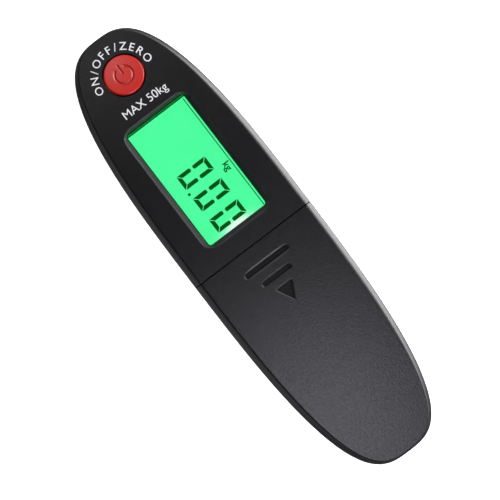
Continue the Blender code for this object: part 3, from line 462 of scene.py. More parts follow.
def metal(name, colour, roughness, stretch=(1, 1, 1)):
    """Bright metal with fine drawn lines and faint stains."""
    nodes = Nodes(name)
    nodes.set(Metallic=1.0)
    lines = nodes.noise(0.5, 4.0, stretch)
    stains = nodes.noise(3.5, 3.0)
    dull = tuple(c * 0.8 for c in colour)
    nodes.link(nodes.ramp(stains, ((0.3, dull), (0.65, colour))), "Base Color")
    nodes.link(nodes.spread(lines, roughness - 0.05, roughness + 0.1), "Roughness")
    nodes.bump([(lines, 0.06)], 0.03)
    return nodes.material


def lit_lcd():
    """A liquid crystal panel lit green from behind: even over its area and white by the lamp."""
    nodes = Nodes("lcd_lit_green")
    nodes.set(Roughness=0.35, Specular_IOR_Level=0.2)
    nodes.set(Base_Color=(0.01, 0.08, 0.03, 1.0))
    place = nodes.add("SeparateXYZ")
    nodes.link(nodes.place, place.inputs["Vector"])

    def calculate(operation, first, second=None):
        node = nodes.add("Math")
        node.operation = operation
        for socket, value in zip(node.inputs, (first, second)):
            if isinstance(value, (int, float)):
                socket.default_value = value
            elif value is not None:
                nodes.link(value, socket)
        return node.outputs["Value"]

    lamp_x = DISPLAY_X + LIT_AREA[0] / 2
    along = calculate("SUBTRACT", lamp_x, place.outputs["X"])
    along = calculate("POWER", calculate("DIVIDE", along, LAMP_SPREAD[0]), 2.0)
    across = calculate("POWER", calculate("DIVIDE", place.outputs["Y"], LAMP_SPREAD[1]), 2.0)
    bright = calculate("EXPONENT", calculate("MULTIPLY", calculate("ADD", along, across), -1.0))
    mottle = calculate("MULTIPLY", calculate("SUBTRACT", nodes.noise(6.0, 2.0), 0.5), 0.05)
    green, pale, white = (0.072, 1.0, 0.355), (0.30, 1.0, 0.58), (0.82, 1.0, 0.90)
    stops = ((0.0, green), (0.4, pale), (0.75, white))
    colour = nodes.ramp(calculate("ADD", bright, mottle), stops)
    nodes.link(colour, "Emission Color")
    nodes.set(Emission_Strength=1.0)
    return nodes.material


def glow(name, colour, strength, specular=0.5, shade=1.0):
    """A faintly lit surface with a slight change of tone. shade is how light its own colour is."""
    nodes = Nodes(name)
    nodes.set(Roughness=0.4, Specular_IOR_Level=specular, Emission_Strength=strength)
    slow = nodes.noise(2.0)
    for socket, share in (("Base Color", shade), ("Emission Color", 1.0)):
        tone = tuple(c * share for c in colour)
        dim = tuple(c * 0.85 for c in tone)
        nodes.link(nodes.ramp(slow, ((0.3, dim), (0.7, tone))), socket)
    return nodes.material


def clear_window():
    """Clear acrylic, very slightly uneven in gloss."""
    nodes = Nodes("window_clear")
    nodes.set(Base_Color=(0.97, 1.0, 0.98, 1.0), Transmission_Weight=1.0, IOR=1.49)
    nodes.link(nodes.spread(nodes.noise(5.0), 0.02, 0.05), "Roughness")
    return nodes.material


def circuit_board():
    """Green solder mask, lighter over the tracks."""
    nodes = Nodes("solder_mask")
    tracks = nodes.noise(1.1, 0.0, (1, 0.25, 1))
    mask, track = (0.01, 0.13, 0.05), (0.02, 0.24, 0.09)
    colour = nodes.ramp(tracks, ((0.46, mask), (0.5, track), (0.56, mask)))
    nodes.link(colour, "Base Color")
    nodes.set(Roughness=0.35)
    nodes.bump([(tracks, 0.15)], 0.05)
    return nodes.material


def cell_wrap():
    """A plain dark blue battery sleeve, lacquered, with a fine print grain."""
    nodes = Nodes("cell_wrap")
    fine = nodes.noise(0.3, 2.0)
    slow = nodes.noise(8.0, 2.0)
    colour = nodes.ramp(slow, ((0.3, (0.015, 0.06, 0.20)), (0.7, (0.02, 0.09, 0.27))))
    nodes.link(colour, "Base Color")
    nodes.set(Metallic=0.35, Coat_Weight=0.4)
    nodes.link(nodes.spread(fine, 0.24, 0.34), "Roughness")
    nodes.bump([(slow, 0.05)], 0.1)
    return nodes.material


# Every material by the name that the pieces use for it
MATERIALS = {
    "shell": plastic("satin_black_plastic", (0.0046, 0.0045, 0.005), 0.36, 0.7, 0.6, specular=0.265),
    # rim: a lighter black than the shell, a painted highlight on the window's bevel and on the sunk marks'
    # soft rims, with a little more real gloss
    "rim": plastic("black_rim_painted_highlight", (0.021, 0.021, 0.022), 0.36, 0.4, 0.2, specular=0.34),
    # recess: a darker black than the shell, painted shade in the floors and walls of the sunk marks, and
    # rougher
    "recess": plastic("matt_black_recess_painted_shade", (0.003, 0.003, 0.0032), 0.5, 0.4, 0.2, specular=0.12),
    "inner": plastic("inner_black_plastic", (0.03, 0.03, 0.032), 0.6, 0.4, 0.12),
    "red": plastic("red_button_plastic", (0.42, 0.014, 0.010), 0.33, 0.3, 0.05, 0.06),
    # red_mark: a darker red than the cap, painted shade in the power mark's groove
    "red_mark": plastic("red_groove_painted_shade", (0.36, 0.011, 0.008), 0.4, 0.3, 0.05),
    "print": plastic("white_print", (0.66, 0.66, 0.67), 0.6, 0.15, 0.08, 0.04),
    "white": plastic("white_plastic", (0.72, 0.72, 0.70), 0.45, 0.3, 0.06),
    "switch": plastic("switch_plastic", (0.025, 0.025, 0.027), 0.5, 0.3),
    "rubber": plastic("contact_rubber", (0.10, 0.10, 0.105), 0.85, 0.5, 0.3),
    "blob": plastic("chip_resin", (0.006, 0.006, 0.006), 0.18, 1.2, 0.2),
    "sealant": plastic("gauge_sealant", (0.75, 0.75, 0.72), 0.3, 1.5, 0.25, 0.05),
    "foil": metal("gauge_foil", (0.80, 0.48, 0.16), 0.35, (1, 8, 1)),
    "guide": glow("light_guide", (0.25, 0.9, 0.5), 0.5),
    "lamp": glow("lamp", (0.9, 1.0, 0.92), 1.5),
    "lcd": lit_lcd(),
    "lcd_rim": glow("lcd_rim", (0.0, 0.035, 0.003), 1.0, specular=0.1, shade=0.3),
    "segment": glow("lcd_segment", (0.0, 0.09, 0.003), 1.0, specular=0.0, shade=0.1),
    "edge_light": glow("lcd_edge_light", (0.01, 0.30, 0.05), 1.0, specular=0.1, shade=0.1),
    "window": clear_window(),
    "board": circuit_board(),
    "steel": metal("polished_steel", (0.66, 0.66, 0.68), 0.20),
    "zinc": metal("zinc_plate", (0.30, 0.31, 0.33), 0.42, (3, 1, 1)),
    "nickel": metal("nickel_plate", (0.72, 0.69, 0.63), 0.24),
    "cell": cell_wrap(),
    "red_wire": plastic("red_wire", (0.50, 0.015, 0.012), 0.4, 0.8, 0.08),
    "black_wire": plastic("black_wire", (0.012, 0.012, 0.012), 0.4, 0.8, 0.08),
    "white_wire": plastic("white_wire", (0.70, 0.70, 0.70), 0.4, 0.8, 0.08),
}


# ---------------------------------------- upper shells

EDGE_FILLET, EDGE_STEPS = 0.4, 8
PARTING_FILLET, PARTING_STEPS = 0.14, 6
RUNGS = 76
ACROSS = 44
SHOULDER_STEPS = 12
GIRTH_ROUNDING = ((0.27, 0.0), (0.10, 0.05), (0.02, 0.20))  # (inset, lift) round the shell's lower edge


def rung_x(head, fraction, inset):
    """x of a cross-section this fraction of the way to the tip, for a surface drawn in by inset."""
    reach = HEAD_REACH if head else TAIL_REACH
    ease = min(max((fraction - 0.35) / 0.6, 0.0), 1.0)
    distance = (reach - inset * ease * ease * (3 - 2 * ease)) * fraction
    return PLAN_CENTRE - distance if head else PLAN_CENTRE + distance


def section(place, drop=0.0, wall=0.0):
    """One cross-section, from the girth on -Y over the face to the girth on +Y.

    place(inset) gives its x. drop lowers it at the parting line, and wall takes it inside the shell.
    """
    edge = FACE_INSET + wall

    def at_tip(inset):
        return wall + (inset - wall) * TIP_SHARE if inset > wall else inset

    y_edge = half_width(place(at_tip(edge)), edge, at_tip(edge))
    crown = y_edge**2 / (2 * CROWN_RADIUS)

    def shoulder(step):
        return edge - FACE_INSET * (1 - (1 - step) ** 2), crown + (UPPER_DEPTH - crown) * step

    rim = ((0.0, 0.0),) if wall else GIRTH_ROUNDING
    half = [(wall + tuck + drop, UPPER_DEPTH - lift) for tuck, lift in rim]
    top_step, low_step = 0.07, 0.94
    for i in range(SHOULDER_STEPS):
        step = low_step + (top_step - low_step) * i / (SHOULDER_STEPS - 1)
        inset, depth = shoulder(step)
        half.append((inset + drop * step, depth + drop * (1 - step)))
    inset_low, depth_low = shoulder(top_step)
    inset_high = edge + (0.02 if wall else EDGE_FILLET)
    for i in range(1, EDGE_STEPS + 1):
        t = i / EDGE_STEPS
        depth = blend(depth_low, crown, crown, t)
        half.append((blend(inset_low, edge, inset_high, t), depth + wall * t + drop))
    x = place(at_tip(inset_high))
    reach = half_width(x, inset_high, at_tip(inset_high))
    face = []
    for i in range(1, ACROSS):
        y = reach * (2 * i / ACROSS - 1)
        face.append((x, y, face_z(x, y) - wall - drop))
    sides = []
    for side in (-1, 1):
        row = []
        for inset, depth in half:
            at = place(at_tip(inset))
            row.append((at, side * half_width(at, inset, at_tip(inset)), spine_z(at) - depth))
        sides.append(row)
    return sides[0] + face + sides[1][::-1]


def shell_sections(head, wall=0.0):
    """Cross-sections from the parting line, with its rounded edge, to the tip."""
    side = -1 if head else 1
    places = []
    for i in range(PARTING_STEPS + 1):
        angle = math.pi / 2 * (1 - i / PARTING_STEPS)
        x = side * (HALF_GAP + PARTING_FILLET * (1 - math.sin(angle)))
        places.append((lambda inset, x=x: x, PARTING_FILLET * (1 - math.cos(angle))))
    if head:
        for x in (-1.2, -2.6):
            places.append((lambda inset, x=x: x, 0.0))
    power = HEAD_POWER if head else TAIL_POWER
    first = 0.0 if head else (HALF_GAP + 1.2 - PLAN_CENTRE) / TAIL_REACH
    for i in range(RUNGS + 1):
        fraction = first + (1 - first) * (1 - (1 - i / RUNGS) ** power)
        places.append((lambda inset, f=fraction: rung_x(head, f, inset), 0.0))
    return [section(place, 0.0 if wall else drop, wall) for place, drop in places]


def build_shell(bm, head):
    """A closed shell: outer skin, ceiling, rim and the wall at the parting line."""
    outer = add_loft(bm, shell_sections(head), closed=False, cap=False)
    inner = add_loft(bm, shell_sections(head, WALL), closed=False, cap=False)
    bm.faces.new(outer[0] + inner[0][::-1])
    for end in (0, -1):
        for (a, b), (c, d) in zip(zip(outer, outer[1:]), zip(inner, inner[1:])):
            bm.faces.new([a[end], b[end], d[end], c[end]])
    bmesh.ops.remove_doubles(bm, verts=bm.verts, dist=1e-4)


def sunk_rings(plan, face, floor, softness):
    """Rings of a cutter whose rim follows the face and is rounded. plan(grow) gives its outline."""
    rings = []
    steps = [(1.6, -1.2 / softness), (1.3, -0.1)]
    for turn in (20, 31, 42, 53, 64, 75, 90):
        steps.append((1 - math.sin(math.radians(turn)), 1 - math.cos(math.radians(turn))))
    for grow, depth in steps:
        rings.append([(x, y, face(x, y) - depth * softness) for x, y in plan(grow * softness)])
    rings.append([(x, y, floor(x, y)) for x, y in plan(0.0)])
    return rings


def display_face(x, y):
    """The face seen from the display's frame."""
    return -(x**2) / (2 * ARCH_RADIUS) - y**2 / (2 * CROWN_RADIUS)


def button_face(x, y):
    """The face seen from the button's frame, which is tilted to the display."""
    return display_face(x, y) + x * BUTTON_SLOPE


def board_z(x):
    """Height of the circuit board's top, which is parallel to the display."""
    return spine_z(DISPLAY_X) - 9.4 - (x - DISPLAY_X) * DISPLAY_X / ARCH_RADIUS


def opening_plan(grow):
    return rounded_rectangle(WINDOW_OPENING[0] + 2 * grow, WINDOW_OPENING[1] + 2 * grow, 3.0 + grow)


def build_window_opening(bm):
    """The bevelled opening: rounded at the face and drawn in towards the pane."""
    rings = sunk_rings(opening_plan, display_face, lambda x, y: -WINDOW_DEPTH, 0.3)[:-1]
    for z in (-WINDOW_DEPTH, -WINDOW_DEPTH - 2):
        rings.append([(x + VIEW_SHIFT, y, z) for x, y in rounded_rectangle(*WINDOW_VIEW, 1.3)])
    add_loft(bm, rings)


def mark_bezel(mesh):
    """Gives the rim and the walls of the window opening the second material, a lighter black that paints a
    highlight on them.
    """
    for polygon in mesh.polygons:
        x, y, z = DISPLAY_FRAME.inverted() @ (polygon.center / MM)
        inside = abs(x) < WINDOW_OPENING[0] / 2 + 0.5 and abs(y) < WINDOW_OPENING[1] / 2 + 0.5
        if inside and 0.02 < display_face(x, y) - z < WINDOW_DEPTH - 0.05:
            polygon.material_index = 1


def build_upper_bosses(bm):
    """Bosses under the face for the housing's and the board's screws."""
    for side in (-1, 1):
        for x, y, _ in HOUSING_SCREWS:
            add_rod(bm, BOSS_RADIUS, girth_z(x) - 0.3, face_z(x, y) - WALL / 2, (x, side * y), 32)
        x, y = BOARD_SCREW
        add_rod(bm, BOSS_RADIUS, board_z(x) + RIM_GAP, face_z(x, y) - WALL / 2, (x, side * y), 32)


def build_upper_screw_holes(bm):
    for side in (-1, 1):
        for x, y, seat in HOUSING_SCREWS:
            add_rod(bm, SCREW_HOLE_RADIUS, girth_z(x) - 2, seat + 11.8, (x, side * y), 24)
        x, y = BOARD_SCREW
        add_rod(bm, SCREW_HOLE_RADIUS, board_z(x) - 1, board_z(x) + 4.6, (x, side * y), 24)


def make_head_cover():
    """The head's shell with its bosses, its window opening and the button's hole."""
    cover = build("head_cover_shell", lambda bm: build_shell(bm, True))

    def build_seat(bm):
        add_prism(bm, rounded_rectangle(*WINDOW_SEAT, 1.0), -WINDOW_DEPTH - 7, -WINDOW_DEPTH)

    def build_button_hole(bm):
        plan = lambda grow: circle(BUTTON_HOLE_RADIUS + grow, 96)
        add_loft(bm, sunk_rings(plan, button_face, lambda x, y: -4.5, 0.2))

    combine(
        cover,
        ("UNION", build("bosses", build_upper_bosses)),
        ("DIFFERENCE", build("boss_holes", build_upper_screw_holes)),
        ("DIFFERENCE", build("window_seat", build_seat, DISPLAY_FRAME)),
        ("DIFFERENCE", build("window_opening", build_window_opening, DISPLAY_FRAME)),
        ("DIFFERENCE", build("button_hole", build_button_hole, BUTTON_FRAME)),
    )
    finish_piece(cover, ["shell", "rim"], "casing", ["head_cover"])
    mark_bezel(cover.data)
    shade_face_true(cover.data)


GRIP_BARS = ((6.3, 15.0), (11.1, 9.8))  # (x, length)
GRIP_WIDTH, GRIP_DEPTH = 1.3, 0.95
ARROW_CORNERS = ((14.6, -2.55), (19.5, 0.0), (14.6, 2.55))
ARROW_ROUNDING, ARROW_DEPTH = 0.4, 0.7


def arrow_plan(grow):
    """The arrowhead's outline, with small round corners."""
    corners = [Vector(corner) for corner in ARROW_CORNERS]
    points = []
    for i, corner in enumerate(corners):
        before = (corners[i - 1] - corner).normalized()
        after = (corners[(i + 1) % 3] - corner).normalized()
        start, end = corner + before * ARROW_ROUNDING, corner + after * ARROW_ROUNDING
        out = -(before + after).normalized()
        for t in (0.0, 0.25, 0.5, 0.75, 1.0):
            points.append(blend(start, corner, end, t) + out * grow * 2.0)
    return [(p.x, p.y) for p in points]


def bar_plan(bar_x, length, grow):
    """The outline of a bar with round ends."""
    plan = rounded_rectangle(GRIP_WIDTH + 2 * grow, length + 2 * grow, GRIP_WIDTH / 2 - 0.05 + grow, 5)
    return [(bar_x + x, y) for x, y in plan]


def build_grip_marks(bm):
    """The two bars and the arrowhead, sunk in the battery cover."""
    for bar_x, length in GRIP_BARS:
        plan = lambda grow: bar_plan(bar_x, length, grow)
        add_loft(bm, sunk_rings(plan, face_z, lambda x, y: face_z(x, y) - GRIP_DEPTH, 0.55))
    add_loft(bm, sunk_rings(arrow_plan, face_z, lambda x, y: face_z(x, y) - ARROW_DEPTH, 0.5))


def mark_grips(mesh):
    """Gives the floors and walls of the sunk marks the second material, a darker black that paints shade into
    them, and their soft rims the third, a lighter black that paints a highlight on them.
    """
    for polygon in mesh.polygons:
        x, y, z = polygon.center / MM
        depth = face_z(x, y) - z
        if 4 < x < 21 and abs(y) < 9 and 0.03 < depth < GRIP_DEPTH + 0.1:
            polygon.material_index = 1 if depth > 0.3 else 2


def build_catches(bm):
    """The tongue under the head cover and the two lugs under the tray's tabs."""
    skin = HEIGHT - WALL
    profile = [(-2.2, 26.3), (3.0, 26.3), (3.0, skin + 0.8), (0.6, skin + 0.8), (0.6, skin - 0.35)]
    profile += [(-2.1, skin - 0.35), (-2.4, skin - 0.6), (-2.4, 26.5)]
    add_loft(bm, [[(x, y, z) for x, z in profile] for y in (-2.4, 2.4)])
    for side in (-1, 1):
        inner, outer = sorted((side * 16.5, side * 19.3))
        add_box(bm, (20, inner, 21.6), (25, outer, 22.4))


def build_lip(bm):
    """A thin lip that carries the cover on under the head cover and closes the parting line from below."""
    top, low = WALL + 0.3, WALL + 0.75
    profile = ((-0.9, low), (1.5, low), (1.5, WALL - 0.4), (0.5, WALL - 0.4), (0.5, top), (-0.9, top))
    add_loft(bm, [[(x, y, face_z(0, y) - depth) for x, depth in profile] for y in range(-17, 18)])


def make_battery_cover():
    """The tail's shell with its sunk marks, catches and lip."""
    cover = build("battery_cover_shell", lambda bm: build_shell(bm, False))
    combine(
        cover,
        ("DIFFERENCE", build("grip_marks", build_grip_marks)),
        ("UNION", build("catches", build_catches)),
        ("UNION", build("lip", build_lip)),
    )
    finish_piece(cover, ["shell", "recess", "rim"], "cover", ["battery_cover"])
    mark_grips(cover.data)
    shade_face_true(cover.data)


# ---------------------------------------- bottom housing

PLAN_SIDES = 160
HULL_STEPS = (0.998, 0.992, 0.98, 0.96, 0.93, 0.89, 0.84, 0.77, 0.68, 0.56, 0.42, 0.28, 0.14)


def plan_ring(inset, scale, height):
    """A ring of the plan's shape, shrunk by scale. height(x, y) gives its z."""
    ring = []
    for i in range(PLAN_SIDES):
        x, y = outline_point(2 * math.pi * i / PLAN_SIDES, inset)
        x = PLAN_CENTRE + (x - PLAN_CENTRE) * scale
        ring.append((x, y * scale, height(x, y * scale)))
    return ring


def build_hull(bm, depth=0.0):
    """The housing's outer form, closed at the girth. Depth builds it that far under the surface."""
    rim = RIM_GAP + depth / 2
    soft = 0.0 if depth else 0.22
    rings = [[(PLAN_CENTRE, 0.0, girth_z(PLAN_CENTRE) - rim)]]
    levels = [(depth, 0.3, 0.0), (depth, 0.7, 0.0), (depth + soft, 1.0, 0.0), (depth + soft * 0.3, 1.0, 0.08)]
    for inset, scale, drop in levels:
        rings.append(plan_ring(inset, scale, lambda x, y: girth_z(x) - rim - drop))
    for scale in HULL_STEPS:
        ceiling = 0.3 if scale > 0.99 else 0.5
        height = lambda x, y: min(hull_z(x, y, depth), girth_z(x) - rim - ceiling)
        rings.append(plan_ring(depth, scale, height))
    rings.append([(PLAN_CENTRE, 0.0, hull_z(PLAN_CENTRE, 0.0, depth))])
    add_loft(bm, rings)


def build_cavity(bm):
    """The housing's inside."""
    rings = [[(PLAN_CENTRE, 0.0, HEIGHT)], plan_ring(WALL, 1.0, lambda x, y: HEIGHT)]
    rings.append(plan_ring(WALL, 1.0, lambda x, y: girth_z(x) - 1))
    for scale in HULL_STEPS:
        rings.append(plan_ring(WALL, scale, lambda x, y: min(hull_z(x, y, WALL), girth_z(x) - 1.5)))
    rings.append([(PLAN_CENTRE, 0.0, hull_z(PLAN_CENTRE, 0.0, WALL))])
    add_loft(bm, rings)


def pocket_plan(grow=0.0):
    """Plan of the hook's pocket, with a half-round end towards the head and soft corners at the other."""
    radius, corner = POCKET_HALF_WIDTH + grow, 2.0 + grow
    x, y = POCKET_TAIL_X + grow - corner, radius - corner
    quarter = math.pi / 2
    points = arc((x, -y), corner, -quarter, quarter, 6) + arc((x, y), corner, 0.0, quarter, 6)
    return points + arc((POCKET_HEAD_X + POCKET_HALF_WIDTH, 0.0), radius, quarter, math.pi, 40)


def build_lower_posts(bm):
    """Posts round the housing screws, and for the load cell beam and the tray."""
    for side in (-1, 1):
        for x, y, seat in HOUSING_SCREWS:
            foot, top = SCREW_HEAD_RADIUS + 1.3, girth_z(x) - 0.7
            profile = [(foot, -2), (foot, seat + 1.5), (BOSS_RADIUS, seat + 2.3), (BOSS_RADIUS, top)]
            add_turned(bm, profile, (x, side * y), 32)
        add_rod(bm, 4.0, 0, BEAM_BOTTOM - RIM_GAP, (side * BEAM_SCREW_X, 0), 32)
        add_rod(bm, BOSS_RADIUS, 0, BAY_Z - 2.6 - RIM_GAP, (BAY_X, side * TRAY_SCREW_Y), 32)


def build_lower_holes(bm):
    """Wells and clearance for the housing screws, and the blind holes of the beam's and the tray's."""
    for side in (-1, 1):
        for x, y, seat in HOUSING_SCREWS:
            well = SCREW_HEAD_RADIUS + 0.35
            profile = [(well, -2), (well, seat)]
            profile += [(SCREW_HOLE_RADIUS, seat), (SCREW_HOLE_RADIUS, girth_z(x) + 1)]
            add_turned(bm, profile, (x, side * y), 32)
        add_rod(bm, SCREW_HOLE_RADIUS, 7.0, BEAM_BOTTOM + 1, (side * BEAM_SCREW_X, 0), 24)
        top = BAY_Z - 2.6
        add_rod(bm, SCREW_HOLE_RADIUS, top - 5.5, top + 1, (BAY_X, side * TRAY_SCREW_Y), 24)


def build_pocket(bm):
    """The pocket's room, with a rounded ceiling edge."""
    rings = [[(x, y, -3.0) for x, y in pocket_plan()]]
    for i in range(6):
        angle = math.pi / 2 * i / 5
        inset, z = 1.0 - math.cos(angle), POCKET_CEILING - 1.0 + math.sin(angle)
        rings.append([(x, y, z) for x, y in pocket_plan(-inset)])
    add_loft(bm, rings)


def make_bottom_housing():
    """The rear shell with its posts, its screw wells and the hook's pocket."""
    housing = build("bottom_housing_shell", build_hull)

    def build_pocket_roof(bm):
        add_prism(bm, pocket_plan(WALL), -5, POCKET_CEILING + WALL)

    def build_slot(bm):
        add_prism(bm, rounded_rectangle(10.4, 15.2, 0.8), 4, 13)

    roof = build("pocket_roof", build_pocket_roof)
    cavity = combine(build("cavity", build_cavity), ("DIFFERENCE", roof))
    core = build("post_core", lambda bm: build_hull(bm, WALL / 2))
    posts = combine(build("lower_posts", build_lower_posts), ("INTERSECT", core))
    combine(
        housing,
        ("DIFFERENCE", cavity),
        ("UNION", posts),
        ("DIFFERENCE", build("below_feet", lambda bm: add_box(bm, (-90, -30, -20), (90, 30, 0)))),
        ("DIFFERENCE", build("hook_pocket", build_pocket)),
        ("DIFFERENCE", build("yoke_slot", build_slot)),
        ("DIFFERENCE", build("lower_holes", build_lower_holes)),
    )
    finish_piece(housing, ["shell"], "casing", ["bottom_housing"])


# ---------------------------------------- display and text

DIGIT_STARTS = (-29.1, -21.3, -13.6)
DIGIT_WIDTH, DIGIT_HEIGHT, DIGIT_BASE = 4.7, 10.2, -5.9
STROKE, SEGMENT_GAP = 1.2, 0.14
POINT_X, POINT_RADIUS = -22.9, 0.42
UNIT_HEIGHT, UNIT_Y = 2.15, 6.9
EDGE_LINE_INSET, EDGE_LINE_WIDTH = 0.8, 0.26
LEGEND_RADIUS, LEGEND_HEIGHT, LEGEND_ANGLES = 8.6, 2.45, (277, 79)
CAPACITY_X, CAPACITY_Y, CAPACITY_HEIGHT = -50.6, 0.2, 2.6
CAP_SHARE = 0.73  # of the lettering's size, taken by a capital
PRINT_THICKNESS = 0.03


def segment_plans():
    """Six bars of a nought: two level ones with mitred ends and four upright ones with a round inner end."""
    width, height, stroke, gap = DIGIT_WIDTH, DIGIT_HEIGHT, STROKE, SEGMENT_GAP
    plans = []
    for flip_y in (False, True):
        level = [(gap, 0.0), (width - gap, 0.0)]
        level += [(width - stroke - gap * 0.4, stroke), (stroke + gap * 0.4, stroke)]
        plans.append([(x, height - y if flip_y else y) for x, y in level])
        for flip_x in (False, True):
            middle = height / 2 - 0.42
            upright = [(0.0, gap * 1.6), (stroke, stroke + gap * 1.3)]
            nose = stroke / 2
            for i in range(9):
                angle = math.pi * i / 8
                y = middle - nose * 0.75 + nose * 0.75 * math.sin(angle)
                upright.append((nose + nose * math.cos(angle), y))
            plan = [(width - x if flip_x else x, height - y if flip_y else y) for x, y in upright]
            plans.append(plan)
    return plans


def text_mesh(bm, body, height, place, weight=0.0):
    """Adds lettering as a thin print, with capitals of this height.

    place(x, y, level) puts a point of it in place, with level 0 for the underside and 1 for the top. weight
    thickens its strokes.
    """
    curve = bpy.data.curves.new("lettering", "FONT")
    curve.body = body
    curve.align_x = "CENTER"
    curve.size = 1.0
    curve.resolution_u = 4
    curve.extrude = 0.5
    curve.offset = weight
    obj = bpy.data.objects.new("lettering", curve)
    bpy.context.scene.collection.objects.link(obj)
    bpy.context.view_layer.update()
    mesh = bpy.data.meshes.new_from_object(obj.evaluated_get(bpy.context.evaluated_depsgraph_get()))
    bpy.data.objects.remove(obj)
    scale = height / CAP_SHARE
    made = bmesh.new()
    made.from_mesh(mesh)
    bmesh.ops.remove_doubles(made, verts=made.verts, dist=1e-5)
    for vert in made.verts:
        vert.co = Vector(place(vert.co.x * scale, vert.co.y * scale, vert.co.z + 0.5))
    made.to_mesh(mesh)
    made.free()
    bm.from_mesh(mesh)
    bpy.data.meshes.remove(mesh)


def on_face(x, y, level):
    """A point of the print on the face: level 0 is its underside and 1 its top."""
    return (x, y, face_z(x, y) + 0.004 + level * PRINT_THICKNESS)


def build_legend(bm):
    """The words round the button's head side and the capacity line between the button and the display."""
    words = "ON/OFF/ZERO"
    widths = {"O": 2.75, "N": 2.6, "/": 1.75, "F": 2.0, "Z": 2.3, "E": 2.1, "R": 2.35}
    total = sum(widths[c] for c in words)
    first, last = (math.radians(angle) for angle in LEGEND_ANGLES)
    along = 0.0
    for letter in words:
        middle = (along + widths[letter] / 2) / total
        along += widths[letter]
        angle = first + (last - first) * middle
        out = Vector((math.cos(angle), math.sin(angle)))
        right = Vector((out.y, -out.x))
        base = Vector((BUTTON_X, 0)) + out * (LEGEND_RADIUS - LEGEND_HEIGHT / 2)

        def place(x, y, level):
            spot = base + right * x + out * y
            return on_face(spot.x, spot.y, level)

        text_mesh(bm, letter, LEGEND_HEIGHT, place, 0.004)
    capacity = lambda x, y, level: on_face(CAPACITY_X - y, CAPACITY_Y + x, level)
    text_mesh(bm, "MAX 50kg", CAPACITY_HEIGHT, capacity)


def make_text():
    """The white print on the head cover."""
    legend = build("printed_legend", build_legend)
    finish_piece(legend, ["print"], "casing")


def make_display():
    """The pane, the panel with what it shows, and the light guide behind it."""
    pane_top = -WINDOW_DEPTH - LAYER_GAP
    panel_top = pane_top - PANE_THICKNESS - LAYER_GAP
    guide_top = panel_top - PANEL_THICKNESS - LAYER_GAP
    lit_low = panel_top - 0.045

    def slab(size, corner, z_low, z_high, edge):
        return lambda bm: add_slab(bm, *size, corner, z_low, z_high, edge)

    def build_lit(bm):
        corners = zip(rounded_rectangle(*LIT_AREA, 0.9), rounded_rectangle(*LIT_AREA, 0.2))
        add_prism(bm, [soft if soft[0] > 0 else crisp for soft, crisp in corners], lit_low, panel_top)

    def build_edge_light(bm):
        lit_end = -LIT_AREA[0] / 2
        add_box(bm, (lit_end - 0.62, -9.9, lit_low), (lit_end - 0.38, 10.1, panel_top))

    def build_segments(bm):
        low, high = panel_top + 0.005, panel_top + 0.04
        point_x = POINT_X - DISPLAY_X
        for start in DIGIT_STARTS:
            for plan in segment_plans():
                add_prism(bm, [(start - DISPLAY_X + x, DIGIT_BASE + y) for x, y in plan], low, high)
        add_prism(bm, circle(POINT_RADIUS, 20, (point_x, DIGIT_BASE)), low, high)
        unit = lambda x, y, level: (point_x + x, UNIT_Y + y, low + (high - low) * level)
        text_mesh(bm, "kg", UNIT_HEIGHT, unit, 0.02)
        line_y = LIT_AREA[1] / 2 - EDGE_LINE_INSET
        line_end = (LIT_AREA[0] / 2 - 0.15, line_y + EDGE_LINE_WIDTH, high)
        add_box(bm, (-LIT_AREA[0] / 2 + 0.3, line_y, low), line_end)

    pane = slab(PANE_SIZE, 1.0, pane_top - PANE_THICKNESS, pane_top, 0.12)
    panel = slab(PANEL_SIZE, 0.4, panel_top - PANEL_THICKNESS, panel_top - 0.05, 0.12)
    guide = slab(GUIDE_SIZE, 0.4, guide_top - GUIDE_THICKNESS, guide_top, 0.1)
    layers = (
        ("window_pane", pane, "window", "clear_window", ["display_window"]),
        ("lcd_glass_stack", panel, "lcd_rim", "lcd_glass", ["lcd_panel"]),
        ("lcd_lit_area", build_lit, "lcd", "lcd_glass", []),
        ("lcd_edge_light", build_edge_light, "edge_light", "lcd_glass", []),
        ("lcd_segments", build_segments, "segment", "lcd_glass", []),
        ("light_guide", guide, "guide", "light_guide", ["backlight_panel"]),
    )
    for name, make, look, slot, nodes in layers:
        piece = build(name, make, DISPLAY_FRAME)
        finish_piece(piece, [look], "casing", nodes)
        if nodes:
            shade_by_area(piece)


# ---------------------------------------- power button


def build_button(bm):
    """A domed cap with a soft edge and a retaining flange, hollow below round a centre stem."""
    skin, edge = -WALL - 0.3, 0.45

    def ring(radius, z, lean=BUTTON_SLOPE):
        return [(x, y, z + lean * x) for x, y in circle(radius, 96)]

    rings = [[(0.0, 0.0, BUTTON_PROUD)]]
    rim = BUTTON_RADIUS - edge
    for share in (0.15, 0.3, 0.45, 0.6, 0.75, 0.88, 1.0):
        radius = rim * share
        rings.append(ring(radius, BUTTON_PROUD - radius**2 / (2 * BUTTON_DOME_RADIUS)))
    edge_z = BUTTON_PROUD - rim**2 / (2 * BUTTON_DOME_RADIUS)
    for i in range(1, 6):
        angle = math.pi / 2 * i / 5
        rings.append(ring(rim + edge * math.sin(angle), edge_z - edge * (1 - math.cos(angle))))
    rings.append(ring(BUTTON_RADIUS, skin))
    rings += [ring(7.0, skin), ring(7.0, skin - 1.0), ring(4.6, skin - 1.0)]
    rings += [ring(4.6, -1.0, 0.0), ring(1.6, -1.0, 0.0), ring(1.6, -2.3, 0.0)]
    add_loft(bm, rings)


